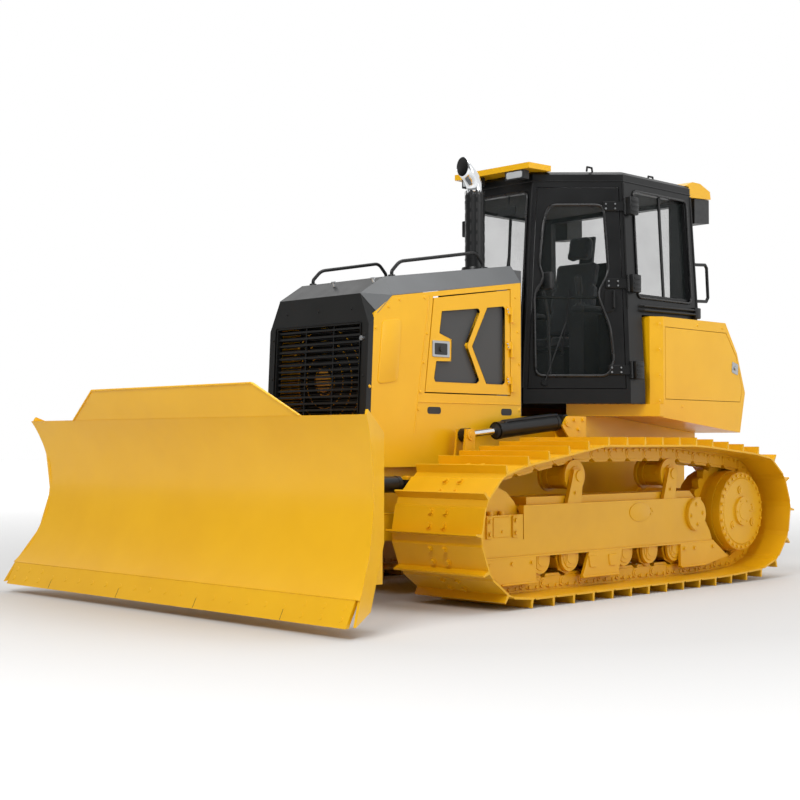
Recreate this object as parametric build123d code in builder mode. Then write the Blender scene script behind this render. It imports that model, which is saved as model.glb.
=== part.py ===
"""Crawler bulldozer: low-ground-pressure tracks, six-way blade, cab with two doors.

Millimetres. +Z up, front towards -Y, the machine's left side towards +X. The origin is on
the ground, below the middle of the overall length. Left-hand pieces are modelled and the
right-hand ones are their mirror images.
"""
from math import atan2, cos, hypot, pi, radians, sin, sqrt
import os

from build123d import *

os.makedirs("parts", exist_ok=True)

# ---------------------------------------------------------------- clearances and stock
RUN_GAP = 6.0            # between pieces that move past each other
PIN_GAP = 1.0            # a pin in its bore, and between eye and cheek
SEAT_GAP = 1.0           # between fixed pieces that are fitted side by side
SHEET = 6.0              # hood and panel sheet
ROUND_SIDES = 12         # flats of a turned or drilled form
SMALL_SIDES = 8          # flats of a rail or hinge knuckle
TRUE_ROUND = 0           # pins that a joint turns on

# ---------------------------------------------------------------- undercarriage
GAUGE = 2010.0           # between the two track centre planes
SHOE_W = 710.0
PITCH = 190.0            # nominal pin pitch
GROUSER_H = 48.0
PLATE_T = 12.0
LINK_UP = 45.0           # pin line to shoe plate
LINK_DOWN = 50.0         # pin line to rail surface
RAIL_X = 75.0            # rail centre from the track centre plane
RAIL_T = 38.0
PIN_R_IDLER = 326.0      # radius of the pin line round the idler
PIN_R_SPROCKET = 343.0
IDLER_Y = -797.0
SPROCKET_Y = 1711.0
SPROCKET_Z = 471.0
CARRIER_Y = (-40.0, 970.0)
CARRIER_R = 85.0
CARRIER_Z = 743.0
ROLLER_Y = -403.0        # first track roller
ROLLER_STEP = 278.0
ROLLER_COUNT = 7
ROLLER_R = 90.0
SHOE_PHASE = 0.62        # where the first shoe stands, in pitches

TRACK_X = GAUGE / 2
PIN_Z = GROUSER_H + PLATE_T + LINK_UP
IDLER_Z = PIN_Z + PIN_R_IDLER
ROLLER_Z = PIN_Z + LINK_DOWN + ROLLER_R + PIN_GAP

# track frame
FRAME_W = 300.0
FRAME_PLATE = 40.0
FRAME_Z0 = 272.0
FRAME_Z1 = 578.0
FRAME_FRONT = -575.0
FRAME_REAR = 1420.0
FRAME_CORE_FRONT = -505.0
YOKE_FRONT = -1000.0
YOKE_Z = 378.0
PIVOT_Y = 1203.0
PIVOT_Z = 465.0
PIVOT_R = 105.0
SHAFT_R = 55.0
HUB_FACE_X = 1200.0
HUB_R = 272.0
HUB_CAP_R = 100.0
DRIVE_AXLE_R = 150.0
CROSS_TUBE_Y = 600.0
CROSS_TUBE_Z = 430.0

# ---------------------------------------------------------------- hull and hood
HULL_X = 400.0           # half width of the main frame
HULL_Z0 = 380.0
HULL_Z1 = 800.0
HULL_REAR_Z = 1126.0     # top of the frame behind the engine
HULL_FRONT = -1150.0
HULL_REAR = 2200.0
HOOD_X = 460.0           # half width over the side panels
HOOD_TOP_X = 374.0       # half width of the flat top
NOSE_Y = -1203.0         # front of the nose at its foot
NOSE_TOP_Y = -1170.0
NOSE_TOP_Z = 1850.0
HOOD_FRONT_Y = -981.0    # where the flat top begins
HOOD_FRONT_Z = 1965.0
HOOD_SLOPE = 0.142       # rise of the hood per length
HOOD_REAR_Y = 215.0
BAND_DROP = 120.0        # height of the bevelled band along the hood
SIDE_Z0 = 800.0          # lower edge of the side panels

# ---------------------------------------------------------------- cab
CAB_Z0 = 1218.0
CAB_BASE_H = 96.0
CAB_Z1 = 2760.0
CAB_ROOF_H = 72.0
CAB_WALL = 46.0
CAB_SILL_Z = 1860.0
CAB_FRONT_X = 272.0
CAB_FRONT_Y = 452.0
CAB_SIDE_X = 800.0
CAB_REAR_Y = 1850.0
CAB_TOP_FRONT_Y = 567.0
CAB_TOP_SIDE_X = 715.0
CAB_TOP_REAR_Y = 1825.0
CAB_LOW_X = 470.0        # half width of the cab between the fenders

# ---------------------------------------------------------------- fenders and tank
FENDER_X = 860.0
FENDER_Y0 = 1195.0
FENDER_TOP = 1830.0
DECK_Z0 = 1133.0         # underside of the deck beside the cab
TANK_Y0 = CAB_REAR_Y + 40.0

# ---------------------------------------------------------------- working equipment
ARM_X = 550.0            # push-arm centre line
ARM_W = 110.0
ARM_H = 160.0
ARM_PIVOT_Y = 350.0
ARM_PIVOT_Z = 450.0
ARM_PIN_R = 40.0
ARM_FRONT_Y = -1420.0
BEAM_Y = -1640.0         # cross beam of the push frame
BALL_Y = -1880.0         # blade pivot
BALL_Z = 450.0
LIFT_X = 560.0
LIFT_EYE_Y = -434.0
LIFT_EYE_Z = 997.0
LIFT_PIN_Y = 527.0
LIFT_PIN_Z = 1092.0
LIFT_BORE_R = 54.0
LIFT_ROD_R = 22.5
LIFT_PIN_R = 24.0
ANGLE_X = 590.0
ANGLE_PIN_Y = -985.0
ANGLE_Z = 700.0
ANGLE_EYE_X = 520.0
ANGLE_EYE_Y = -1895.0
TILT_Z = 930.0
TILT_Y = -1945.0
TILT_PIN_X = -80.0
TILT_EYE_X = 640.0

EYE_HALF = 26.0
NOSE_R = 95.0
FORK_T = 32.0
YOKE_HALF = 100.0        # half height of the yoke between the fork plates
YOKE_PIN_R = 48.0

BLADE_X = 1660.0         # half width over the cutting edge
EDGE_Y = -2405.0
EDGE_Z = 54.0
EDGE_TOP_Y = -2338.0
EDGE_TOP_Z = 186.0
MOLD_Y = -2145.0         # deepest point of the moldboard
MOLD_Z = 640.0
MOLD_TOP_Y = -2248.0
MOLD_TOP_Z = 1087.0
GUARD_Y = -2318.0
GUARD_Z = 1262.0
GUARD_LOW_X = 1072.0
GUARD_TOP_X = 762.0
MOLD_T = 14.0
END_FLARE = 0.546        # sideways flare of the blade ends per length


def save(solid, name):
    """Label a finished piece and write it."""
    solid.label = name
    export_step(solid, f"parts/{name}.step")


def save_pair(solid, name):
    """Write a left-hand piece and its mirror image."""
    save(solid, f"{name}_left")
    save(mirror(solid, about=Plane.YZ), f"{name}_right")


def prism_x(points, x0, x1, mode=Mode.ADD):
    """Extrude a side-view outline, given as (y, z), from x0 to x1."""
    with BuildSketch(Plane.YZ.offset(x0)) as outline:
        with BuildLine():
            Polyline(*points, close=True)
        make_face()
    extrude(outline.sketch, amount=x1 - x0, mode=mode)


def prism_z(points, z0, z1, mode=Mode.ADD):
    """Extrude a plan outline, given as (x, y), from z0 to z1."""
    with BuildSketch(Plane.XY.offset(z0)) as outline:
        with BuildLine():
            Polyline(*points, close=True)
        make_face()
    extrude(outline.sketch, amount=z1 - z0, mode=mode)


def box(x0, x1, y0, y1, z0, z1, mode=Mode.ADD):
    """A block between two corners."""
    with Locations(((x0 + x1) / 2, (y0 + y1) / 2, (z0 + z1) / 2)):
        Box(x1 - x0, y1 - y0, z1 - z0, mode=mode)


def round_section(r, sides):
    """A round section with a number of flats, or a true circle when there are none."""
    if sides:
        RegularPolygon(r, sides)
    else:
        Circle(r)


def disc_x(y, z, r, x0, x1, mode=Mode.ADD, sides=ROUND_SIDES):
    """A round bar along X."""
    with BuildSketch(Plane.YZ.offset(x0)) as section:
        with Locations((y, z)):
            round_section(r, sides)
    extrude(section.sketch, amount=x1 - x0, mode=mode)


def disc_z(x, y, r, z0, z1, mode=Mode.ADD, sides=ROUND_SIDES):
    """A round bar along Z."""
    with BuildSketch(Plane.XY.offset(z0)) as section:
        with Locations((x, y)):
            round_section(r, sides)
    extrude(section.sketch, amount=z1 - z0, mode=mode)


def disc_y(x, z, r, y0, y1, mode=Mode.ADD, sides=ROUND_SIDES):
    """A round bar along Y."""
    with BuildSketch(Plane.XZ.offset(-y1)) as section:
        with Locations((x, z)):
            round_section(r, sides)
    extrude(section.sketch, amount=y1 - y0, mode=mode)


def bar(start, end, r, mode=Mode.ADD, sides=ROUND_SIDES):
    """A round bar between two points."""
    run = Vector(*end) - Vector(*start)
    with BuildSketch(Plane(origin=start, z_dir=run)) as section:
        round_section(r, sides)
    extrude(section.sketch, amount=run.length, mode=mode)


# ================================================================ tracks
def belt(wheels):
    """Straight runs and arcs of a belt round (y, z, r) wheels, taken anticlockwise."""
    normals = []
    for here, after in zip(wheels, wheels[1:] + wheels[:1]):
        dy = after[0] - here[0]
        dz = after[1] - here[1]
        span = hypot(dy, dz)
        lean = (here[2] - after[2]) / span
        side = sqrt(1 - lean * lean)
        normals.append(((dy * lean + dz * side) / span, (dz * lean - dy * side) / span))
    pieces = []
    for i, (y, z, r) in enumerate(wheels):
        a_in = atan2(normals[i - 1][1], normals[i - 1][0])
        a_out = atan2(normals[i][1], normals[i][0])
        turn = (a_out - a_in) % (2 * pi)
        pieces.append(("arc", y, z, r, a_in, turn, r * turn))
        y2, z2, r2 = wheels[(i + 1) % len(wheels)]
        ny, nz = normals[i]
        start = (y + r * ny, z + r * nz)
        end = (y2 + r2 * ny, z2 + r2 * nz)
        pieces.append(("run", *start, *end, 0, hypot(end[0] - start[0], end[1] - start[1])))
    return pieces


def along(pieces, s):
    """The point at arc length s of a belt."""
    s = s % sum(piece[-1] for piece in pieces)
    for kind, a, b, c, d, turn, length in pieces:
        if s <= length:
            break
        s -= length
    share = s / length if length else 0
    if kind == "arc":
        angle = d + turn * share
        return (a + c * cos(angle), b + c * sin(angle))
    return (a + (c - a) * share, b + (d - b) * share)


BELT = belt([
    (IDLER_Y, IDLER_Z, PIN_R_IDLER),
    (ROLLER_Y + ROLLER_STEP * (ROLLER_COUNT - 1), ROLLER_Z, ROLLER_Z - PIN_Z),
    (SPROCKET_Y, SPROCKET_Z, PIN_R_SPROCKET),
    (CARRIER_Y[1], CARRIER_Z, CARRIER_R + LINK_DOWN),
    (CARRIER_Y[0], CARRIER_Z, CARRIER_R + LINK_DOWN),
])
BELT_LENGTH = sum(piece[-1] for piece in BELT)
SHOES = round(BELT_LENGTH / PITCH)
STEP = BELT_LENGTH / SHOES
PINS = [along(BELT, (i + SHOE_PHASE) * STEP) for i in range(SHOES)]

# outline of one shoe and one link, as (along the track, out from the pin line)
half = STEP / 2
SHOE_OUTER = [
    (-half + 2, LINK_UP + 3),
    (-half + 12, LINK_UP + PLATE_T),
    (half - 30, LINK_UP + PLATE_T),
    (half - 25, LINK_UP + PLATE_T + GROUSER_H),
    (half - 14, LINK_UP + PLATE_T + GROUSER_H),
    (half - 10, LINK_UP + PLATE_T),
    (half - 2, LINK_UP + PLATE_T - 4),
]
SHOE_INNER = [(-half + 5, LINK_UP), (half - 5, LINK_UP)]
RAIL_OUTER = [(-half + 5, LINK_UP + 2), (half - 5, LINK_UP + 2)]
RAIL_INNER = [(-half + 14, -14), (-half + 32, -LINK_DOWN), (half - 32, -LINK_DOWN)]


def ring(outline):
    """Repeat a link outline round the track."""
    points = []
    for a, b in zip(PINS, PINS[1:] + PINS[:1]):
        span = hypot(b[0] - a[0], b[1] - a[1])
        ty, tz = (b[0] - a[0]) / span, (b[1] - a[1]) / span
        my, mz = (a[0] + b[0]) / 2, (a[1] + b[1]) / 2
        for u, v in outline:
            u *= span / STEP
            points.append((my + ty * u + tz * v, mz + tz * u - ty * v))
    return points


def ring_band(outer, inner, x, width):
    """Extrude the band between two rings, centred on x."""
    with BuildSketch(Plane.YZ.offset(x - width / 2)) as band:
        with BuildLine():
            Polyline(*ring(outer), close=True)
        make_face()
        with BuildLine():
            Polyline(*ring(inner), close=True)
        make_face(mode=Mode.SUBTRACT)
    extrude(band.sketch, amount=width)


with BuildPart() as track:
    ring_band(SHOE_OUTER, SHOE_INNER, TRACK_X, SHOE_W)
    for side in (-1, 1):
        ring_band(RAIL_OUTER, RAIL_INNER, TRACK_X + side * RAIL_X, RAIL_T)
save_pair(track.part, "track")

# ================================================================ wheels of the undercarriage
RAIL_IN = RAIL_X - RAIL_T / 2
RAIL_OUT = RAIL_X + RAIL_T / 2
IDLER_R = sqrt(PIN_R_IDLER ** 2 - half ** 2) - LINK_DOWN - PIN_GAP
IDLER_FLANGE = 16.0
IDLER_BEARING_R = 70.0

WHEEL_SIDES = 18
ROLLER_SIDES = 8
ROLLER_FLANGE = 18.0
ROLLER_HALF = RAIL_OUT + 14
CARRIER_STUB = 8.0       # carrier axle showing before its bracket
ROLLER_GAP = 4.0         # to the polygon of rail surfaces
FLANGE_GAP = 3.0         # between a flange and the side of the rail


with BuildPart() as rollers:
    # front idler, with a centre flange between the rails
    disc_x(IDLER_Y, IDLER_Z, IDLER_R, TRACK_X - RAIL_OUT, TRACK_X + RAIL_OUT, sides=WHEEL_SIDES)
    disc_x(IDLER_Y, IDLER_Z, IDLER_R + IDLER_FLANGE, TRACK_X - RAIL_IN + FLANGE_GAP, TRACK_X + RAIL_IN - FLANGE_GAP,
           sides=WHEEL_SIDES)
    # track rollers below and carrier rollers above: a drum with a flange at each end
    for i in range(ROLLER_COUNT + len(CARRIER_Y)):
        if i < ROLLER_COUNT:
            y, z, r = ROLLER_Y + ROLLER_STEP * i, ROLLER_Z, ROLLER_R - ROLLER_GAP
        else:
            y, z, r = CARRIER_Y[i - ROLLER_COUNT], CARRIER_Z, CARRIER_R - ROLLER_GAP
        disc_x(y, z, r, TRACK_X - ROLLER_HALF, TRACK_X + ROLLER_HALF, sides=ROLLER_SIDES)
        for side in (-1, 1):
            x0, x1 = sorted((TRACK_X + side * (RAIL_OUT + FLANGE_GAP), TRACK_X + side * ROLLER_HALF))
            disc_x(y, z, r + ROLLER_FLANGE, x0, x1, sides=ROLLER_SIDES)
            if i < ROLLER_COUNT:
                # end block carrying the roller under the frame
                x = TRACK_X + side * (ROLLER_HALF + 18)
                box(x - 18, x + 18, y - 45, y + 45, z - 40, FRAME_Z0)
        if i >= ROLLER_COUNT:
            disc_x(y, z, 40, TRACK_X + ROLLER_HALF, TRACK_X + ROLLER_HALF + CARRIER_STUB, sides=ROLLER_SIDES)
    mirror(about=Plane.YZ)
save(rollers.part, "rollers")

# ---------------------------------------------------------------- final drive and sprocket
TEETH = 23
TOOTH_R = PIN_R_SPROCKET + 6
ROOT_R = PIN_R_SPROCKET - 30
with BuildPart() as final_drive:
    disc_x(SPROCKET_Y, SPROCKET_Z, DRIVE_AXLE_R, HULL_X + SEAT_GAP, HUB_FACE_X - 80, sides=WHEEL_SIDES)
    disc_x(SPROCKET_Y, SPROCKET_Z, DRIVE_AXLE_R + 40, HULL_X + SEAT_GAP, HULL_X + 30, sides=WHEEL_SIDES)
    disc_x(SPROCKET_Y, SPROCKET_Z, HUB_R + 8, TRACK_X - RAIL_OUT - 60, HUB_FACE_X - 60, sides=WHEEL_SIDES)
    disc_x(SPROCKET_Y, SPROCKET_Z, HUB_R, HUB_FACE_X - 60, HUB_FACE_X, sides=WHEEL_SIDES)
    disc_x(SPROCKET_Y, SPROCKET_Z, HUB_CAP_R, HUB_FACE_X, HUB_FACE_X + 22)
    tooth = 2 * pi / TEETH
    wheel = []
    for i in range(TEETH):
        for share, r in ((-0.12, TOOTH_R), (0.12, TOOTH_R), (0.5, ROOT_R)):
            a = tooth * (i + share)
            wheel.append((SPROCKET_Y + r * cos(a), SPROCKET_Z + r * sin(a)))
    prism_x(wheel, TRACK_X - 26, TRACK_X + 26)
    mirror(about=Plane.YZ)
save(final_drive.part, "final_drives")

# ---------------------------------------------------------------- track frame
FRAME_X0 = TRACK_X - FRAME_W / 2
FRAME_X1 = TRACK_X + FRAME_W / 2
GUARD_Z0 = 116.0
# roller guards: front and rear of the top edge, rear and front of the foot
GUARDS = (
    (YOKE_FRONT, -480, -480, -795),
    (30, 365, 330, -40),
    (1017, FRAME_REAR, 1586, 1017),
)
CORE_Z0 = ROLLER_Z + ROLLER_R + ROLLER_FLANGE + RUN_GAP
CROWN_H = 45.0
with BuildPart() as track_frame:
    side_plate = [
        (YOKE_FRONT, FRAME_Z0),
        (FRAME_REAR, FRAME_Z0),
        (FRAME_REAR - 33, FRAME_Z0 + 72),
        (PIVOT_Y + 108, PIVOT_Z - 22),
        (PIVOT_Y + 76, FRAME_Z1),
        (FRAME_FRONT, FRAME_Z1),
        (FRAME_FRONT, YOKE_Z),
        (YOKE_FRONT, YOKE_Z),
    ]
    for x in (FRAME_X0, FRAME_X1 - FRAME_PLATE):
        prism_x(side_plate, x, x + FRAME_PLATE)
    core = [
        (FRAME_CORE_FRONT, CORE_Z0),
        (FRAME_REAR - 80, CORE_Z0),
        (PIVOT_Y + 60, FRAME_Z1),
        (PIVOT_Y, FRAME_Z1 + CROWN_H),
        (FRAME_CORE_FRONT, FRAME_Z1 + CROWN_H),
    ]
    prism_x(core, FRAME_X0 + FRAME_PLATE, FRAME_X1 - FRAME_PLATE)
    # idler bearing blocks on the yoke
    for x in (FRAME_X0, FRAME_X1 - FRAME_PLATE):
        box(x, x + FRAME_PLATE, IDLER_Y - 170, FRAME_FRONT - 8, YOKE_Z, IDLER_Z + 95)
        disc_x(IDLER_Y, IDLER_Z, IDLER_BEARING_R, x, x + FRAME_PLATE)
    for x0, x1 in ((FRAME_X0 + FRAME_PLATE, TRACK_X - RAIL_OUT), (TRACK_X + RAIL_OUT, FRAME_X1 - FRAME_PLATE)):
        disc_x(IDLER_Y, IDLER_Z, IDLER_BEARING_R - 20, x0, x1)
    # carrier roller brackets, leaning forward from the frame top
    for y in CARRIER_Y:
        x0 = TRACK_X + ROLLER_HALF + CARRIER_STUB
        prism_x([(y - 120, FRAME_Z1 - 20), (y + 20, FRAME_Z1 - 20), (y + 45, CARRIER_Z + 40),
                 (y - 45, CARRIER_Z + 40)], x0, x0 + 26)
    # pivot cap and cross shaft to the hull
    disc_x(PIVOT_Y, PIVOT_Z, PIVOT_R, FRAME_X1, FRAME_X1 + 22, sides=WHEEL_SIDES)
    disc_x(PIVOT_Y, PIVOT_Z, SHAFT_R, HULL_X + SEAT_GAP, FRAME_X0)
    disc_x(PIVOT_Y, PIVOT_Z, PIVOT_R, FRAME_X0 - 60, FRAME_X0)
    # front cross tube to the hull
    disc_x(CROSS_TUBE_Y, CROSS_TUBE_Z, 48, HULL_X + SEAT_GAP, FRAME_X0)
    # roller guards
    for top_front, top_rear, foot_rear, foot_front in GUARDS:
        toe_z = GUARD_Z0 + 49 if foot_rear > top_rear else GUARD_Z0
        for x in (FRAME_X0 - 15, FRAME_X1 - 5):
            prism_x([(top_front, FRAME_Z0), (top_rear, FRAME_Z0), (foot_rear, toe_z),
                     ((foot_front + foot_rear) / 2, GUARD_Z0), (foot_front, GUARD_Z0)], x, x + 20)
    # ledge along the foot of the outer plate
    box(FRAME_X1, FRAME_X1 + 12, YOKE_FRONT + 60, FRAME_REAR, FRAME_Z0, FRAME_Z0 + 10)
save_pair(track_frame.part, "track_frame")

# ================================================================ hull
PLATE_Z0 = 985.0         # lower edge of the frame plates under the fenders
FRAME_PLATE_REAR = 2240.0
FOOT_REAR = (2250.0, 1024.0)     # rear end of the sloping foot of fenders and tank, as (y, z)


def foot_z(y):
    """Height of the sloping foot of the fenders and the tank."""
    return DECK_Z0 + (y - FENDER_Y0) * (FOOT_REAR[1] - DECK_Z0) / (FOOT_REAR[0] - FENDER_Y0)


with BuildPart() as hull:
    prism_x([
        (HULL_FRONT, HULL_Z0 + 60), (HULL_FRONT + 120, HULL_Z0), (HULL_REAR - 300, HULL_Z0),
        (HULL_REAR, HULL_Z0 + 200), (HULL_REAR, 980), (700, HULL_REAR_Z - SEAT_GAP), (HOOD_REAR_Y, HULL_REAR_Z - SEAT_GAP),
        (HOOD_REAR_Y, HULL_Z1), (HULL_FRONT, HULL_Z1),
    ], -HULL_X, HULL_X)
    for side in (-1, 1):
        # push-arm pins
        x0, x1 = sorted((side * (HULL_X - 10), side * (ARM_X + ARM_W / 2)))
        disc_x(ARM_PIVOT_Y, ARM_PIVOT_Z, ARM_PIN_R, x0, x1, sides=TRUE_ROUND)
        # plate below the fender and the tank, following their sloping foot
        x0, x1 = sorted((side * (HULL_X - 10), side * CAB_LOW_X))
        prism_x([(LIFT_PIN_Y + 200, PLATE_Z0), (FRAME_PLATE_REAR, PLATE_Z0), (FRAME_PLATE_REAR, foot_z(FRAME_PLATE_REAR) - SEAT_GAP),
                 (FENDER_Y0, foot_z(FENDER_Y0) - SEAT_GAP), (LIFT_PIN_Y + 200, foot_z(FENDER_Y0) - SEAT_GAP)], x0, x1)
        # lift cylinder brackets below the deck
        for near in (LIFT_X - 46, LIFT_X + 32):
            x0, x1 = sorted((side * near, side * (near + 14)))
            prism_x([(LIFT_PIN_Y - 60, LIFT_PIN_Z - 30), (LIFT_PIN_Y, LIFT_PIN_Z + 36),
                     (LIFT_PIN_Y + 200, LIFT_PIN_Z + 36), (LIFT_PIN_Y + 200, 900), (LIFT_PIN_Y + 90, 900)], x0, x1)
        x0, x1 = sorted((side * (HULL_X - 10), side * (LIFT_X + 46)))
        box(x0, x1, LIFT_PIN_Y + 120, LIFT_PIN_Y + 200, 900, LIFT_PIN_Z + 36)
        x0, x1 = sorted((side * (LIFT_X - 46), side * (LIFT_X + 56)))
        disc_x(LIFT_PIN_Y, LIFT_PIN_Z, LIFT_PIN_R, x0, x1)
save(hull.part, "hull")


def hood_z(y):
    """Height of the hood's flat top."""
    return HOOD_FRONT_Z + (y - HOOD_FRONT_Y) * HOOD_SLOPE


def band_z(y):
    """Height of the lower edge of the hood's bevelled band."""
    return hood_z(y) - BAND_DROP


ENGINE_Y0 = -560.0
with BuildPart() as engine:
    box(-280, 280, ENGINE_Y0, HOOD_REAR_Y - 60, HULL_Z1 + SEAT_GAP, 1560)
save(engine.part, "engine")

RADIATOR_T = 120.0
with BuildPart() as radiator:
    box(-390, 390, NOSE_Y + 220, NOSE_Y + 220 + RADIATOR_T, HULL_Z1 + SEAT_GAP, 1780)
save(radiator.part, "radiator")

# ---------------------------------------------------------------- nose and grille
GRILLE_X = 385.0
GRILLE_Z0 = 1000.0
GRILLE_Z1 = 1665.0
MASK_T = 40.0
NOSE_SHEET = 20.0
SLAT_STEP = 41.0
SLAT_H = 12.0
SLAT_COUNT = int((GRILLE_Z1 - GRILLE_Z0) / SLAT_STEP)
NOSE_KNEE_Z = 1142.0
NOSE_LEAN = (NOSE_TOP_Y - NOSE_Y) / (NOSE_TOP_Z - NOSE_KNEE_Z)
SIDE_FRONT_TOP_Y = -1105.0   # front edge of the side panel at its upper corner
SIDE_FRONT_TOP_Z = 1728.0


def nose_y(z):
    """Front face of the nose at a height."""
    return NOSE_Y + (z - NOSE_KNEE_Z) * NOSE_LEAN


# corners of the facet between the nose, the hood and a side panel, as (x, y, z)
FACET_FRONT = (HOOD_TOP_X, NOSE_TOP_Y, NOSE_TOP_Z)
FACET_TOP = (HOOD_TOP_X, HOOD_FRONT_Y, HOOD_FRONT_Z)
FACET_REAR = (HOOD_X, HOOD_FRONT_Y, HOOD_FRONT_Z - BAND_DROP)
FACET_LOW = (HOOD_X, SIDE_FRONT_TOP_Y, SIDE_FRONT_TOP_Z)


def slice_off(a, b, c, drop, side):
    """Cut away what lies outside the plane through three points, lowered by drop."""
    a, b, c = (Vector(side * p[0], p[1], p[2]) for p in (a, b, c))
    out = (b - a).cross(c - a).normalized()
    if out.X * side < 0:
        out = out * -1
    with BuildSketch(Plane(origin=a - out * drop, z_dir=out)) as blade:
        Rectangle(1500, 1500)
    extrude(blade.sketch, amount=400, mode=Mode.SUBTRACT)


def nose_block(mask, sheet, reach):
    """The nose as a solid: mask and sheet are how far its front and its top are drawn in."""
    foot = nose_y(SIDE_Z0) + mask
    low = (nose_y(SIDE_FRONT_TOP_Z) + reach, SIDE_FRONT_TOP_Z)
    with BuildPart() as block:
        prism_x([(foot, SIDE_Z0), (NOSE_TOP_Y + mask, NOSE_TOP_Z - sheet), (HOOD_FRONT_Y, HOOD_FRONT_Z - sheet),
                 (HOOD_FRONT_Y, HOOD_FRONT_Z - BAND_DROP - SEAT_GAP), low, (foot + reach - mask, SIDE_Z0)],
                sheet - HOOD_X, HOOD_X - sheet)
        for side in (-1, 1):
            slice_off(FACET_FRONT, FACET_TOP, FACET_REAR, sheet, side)
            slice_off(FACET_FRONT, FACET_REAR, FACET_LOW, sheet, side)
    return block.part


with BuildPart() as nose:
    add(nose_block(0, 0, MASK_T))
    add(nose_block(MASK_T, NOSE_SHEET, MASK_T + 300), mode=Mode.SUBTRACT)
    box(-GRILLE_X, GRILLE_X, NOSE_Y - 60, NOSE_TOP_Y + 60, GRILLE_Z0, GRILLE_Z1, mode=Mode.SUBTRACT)
save(nose.part, "nose")

with BuildPart() as grille:
    for i in range(SLAT_COUNT):
        z = GRILLE_Z0 + SLAT_STEP * (i + 0.5)
        y = nose_y(z) + 12
        box(-GRILLE_X + SEAT_GAP, GRILLE_X - SEAT_GAP, y, y + 16, z, z + SLAT_H)
    for x in (-GRILLE_X / 3, GRILLE_X / 3):
        prism_x([(nose_y(GRILLE_Z0) + 20, GRILLE_Z0 + SEAT_GAP), (nose_y(GRILLE_Z1) + 20, GRILLE_Z1 - SEAT_GAP),
                 (nose_y(GRILLE_Z1) + 30, GRILLE_Z1 - SEAT_GAP), (nose_y(GRILLE_Z0) + 30, GRILLE_Z0 + SEAT_GAP)],
                x - 5, x + 5)
save(grille.part, "grille")

# ---------------------------------------------------------------- hood top
COWL_X = 272.0
COWL_Y = CAB_FRONT_Y - 12.0


def hood_section(y, inset):
    """Cross-section of the hood's cover at y, drawn inwards by inset."""
    top = hood_z(y) - inset
    return [
        (-HOOD_X + inset, band_z(y)), (-HOOD_TOP_X + inset * 0.4, top),
        (HOOD_TOP_X - inset * 0.4, top), (HOOD_X - inset, band_z(y)),
    ]


with BuildPart() as hood:
    for inset, mode in ((0, Mode.ADD), (SHEET, Mode.SUBTRACT)):
        sections = []
        for y in (HOOD_FRONT_Y + SEAT_GAP, HOOD_REAR_Y):
            with BuildSketch(Plane.XZ.offset(-y)) as section:
                with BuildLine():
                    Polyline(*hood_section(y, inset), close=True)
                make_face()
            sections.append(section.sketch.face())
        loft(sections, ruled=True, mode=mode)
    box(-COWL_X, COWL_X, HOOD_REAR_Y - 30, COWL_Y, hood_z(HOOD_REAR_Y) - 40, hood_z(HOOD_REAR_Y) - 6)
    # firewall between the engine bay and the cab
    box(-COWL_X, COWL_X, HOOD_REAR_Y - 30, COWL_Y, HULL_REAR_Z, hood_z(HOOD_REAR_Y) - 20)
save(hood.part, "hood")

# ---------------------------------------------------------------- engine bay sides and doors
DOOR_Y0 = -694.0         # lower front corner of the engine door
DOOR_Y1 = 105.0
DOOR_Z0 = 1264.0
DOOR_LEAN = 78.0         # how far the front edge leans back
DOOR_T = 28.0
BAY_DOOR_GAP = 8.0
BAY_HINGE_Y = DOOR_Y1 + 6.0
BAY_HINGE_X = HOOD_X + 12.0
BAY_HINGE_Z = (DOOR_Z0 + 70, DOOR_Z0 + 300, DOOR_Z0 + 530)
BAY_KNUCKLE_R = 9.0
BAY_KNUCKLE_H = 50.0


def bay_door(grow):
    """Side-view outline of the engine door, grown by a clearance."""
    def top(y):
        return band_z(y) - 42 + grow
    return [
        (DOOR_Y0 - grow, DOOR_Z0 - grow), (DOOR_Y1 + grow, DOOR_Z0 - grow),
        (DOOR_Y1 + grow, top(DOOR_Y1)), (DOOR_Y0 + DOOR_LEAN - grow, top(DOOR_Y0 + DOOR_LEAN)),
    ]


MESH_FRONT = [           # (y, z) of the two-part opening with its notch for the latch
    (-606, 1330), (-222, 1330), (-197, 1350), (-314, 1570), (-190, 1797), (-206, 1815),
    (-545, 1776), (-568, 1636), (-457, 1602), (-461, 1463), (-596, 1459), (-616, 1352),
]
MESH_REAR = [(-129, 1330), (32, 1330), (52, 1345), (54, 1831), (39, 1845), (-118, 1826), (-265, 1567)]

with BuildPart() as side_panel:
    prism_x([
        (nose_y(SIDE_Z0) + MASK_T + SEAT_GAP, SIDE_Z0), (HOOD_REAR_Y, SIDE_Z0),
        (HOOD_REAR_Y, band_z(HOOD_REAR_Y) - SEAT_GAP),
        (HOOD_FRONT_Y + SEAT_GAP, band_z(HOOD_FRONT_Y) - 2 * SEAT_GAP),
        (nose_y(SIDE_FRONT_TOP_Z) + MASK_T + SEAT_GAP, SIDE_FRONT_TOP_Z - 2 * SEAT_GAP),
    ], HOOD_X - DOOR_T - 2, HOOD_X)
    prism_x(bay_door(BAY_DOOR_GAP), HOOD_X - 60, HOOD_X + 20, mode=Mode.SUBTRACT)
    for z in BAY_HINGE_Z:
        z -= BAY_KNUCKLE_H + 2
        disc_z(BAY_HINGE_X, BAY_HINGE_Y, BAY_KNUCKLE_R, z, z + BAY_KNUCKLE_H, sides=SMALL_SIDES)
        box(HOOD_X - 2, BAY_HINGE_X, BAY_HINGE_Y, BAY_HINGE_Y + 40, z, z + BAY_KNUCKLE_H)
    mirror(about=Plane.YZ)
save(side_panel.part, "hood_sides")

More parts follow.
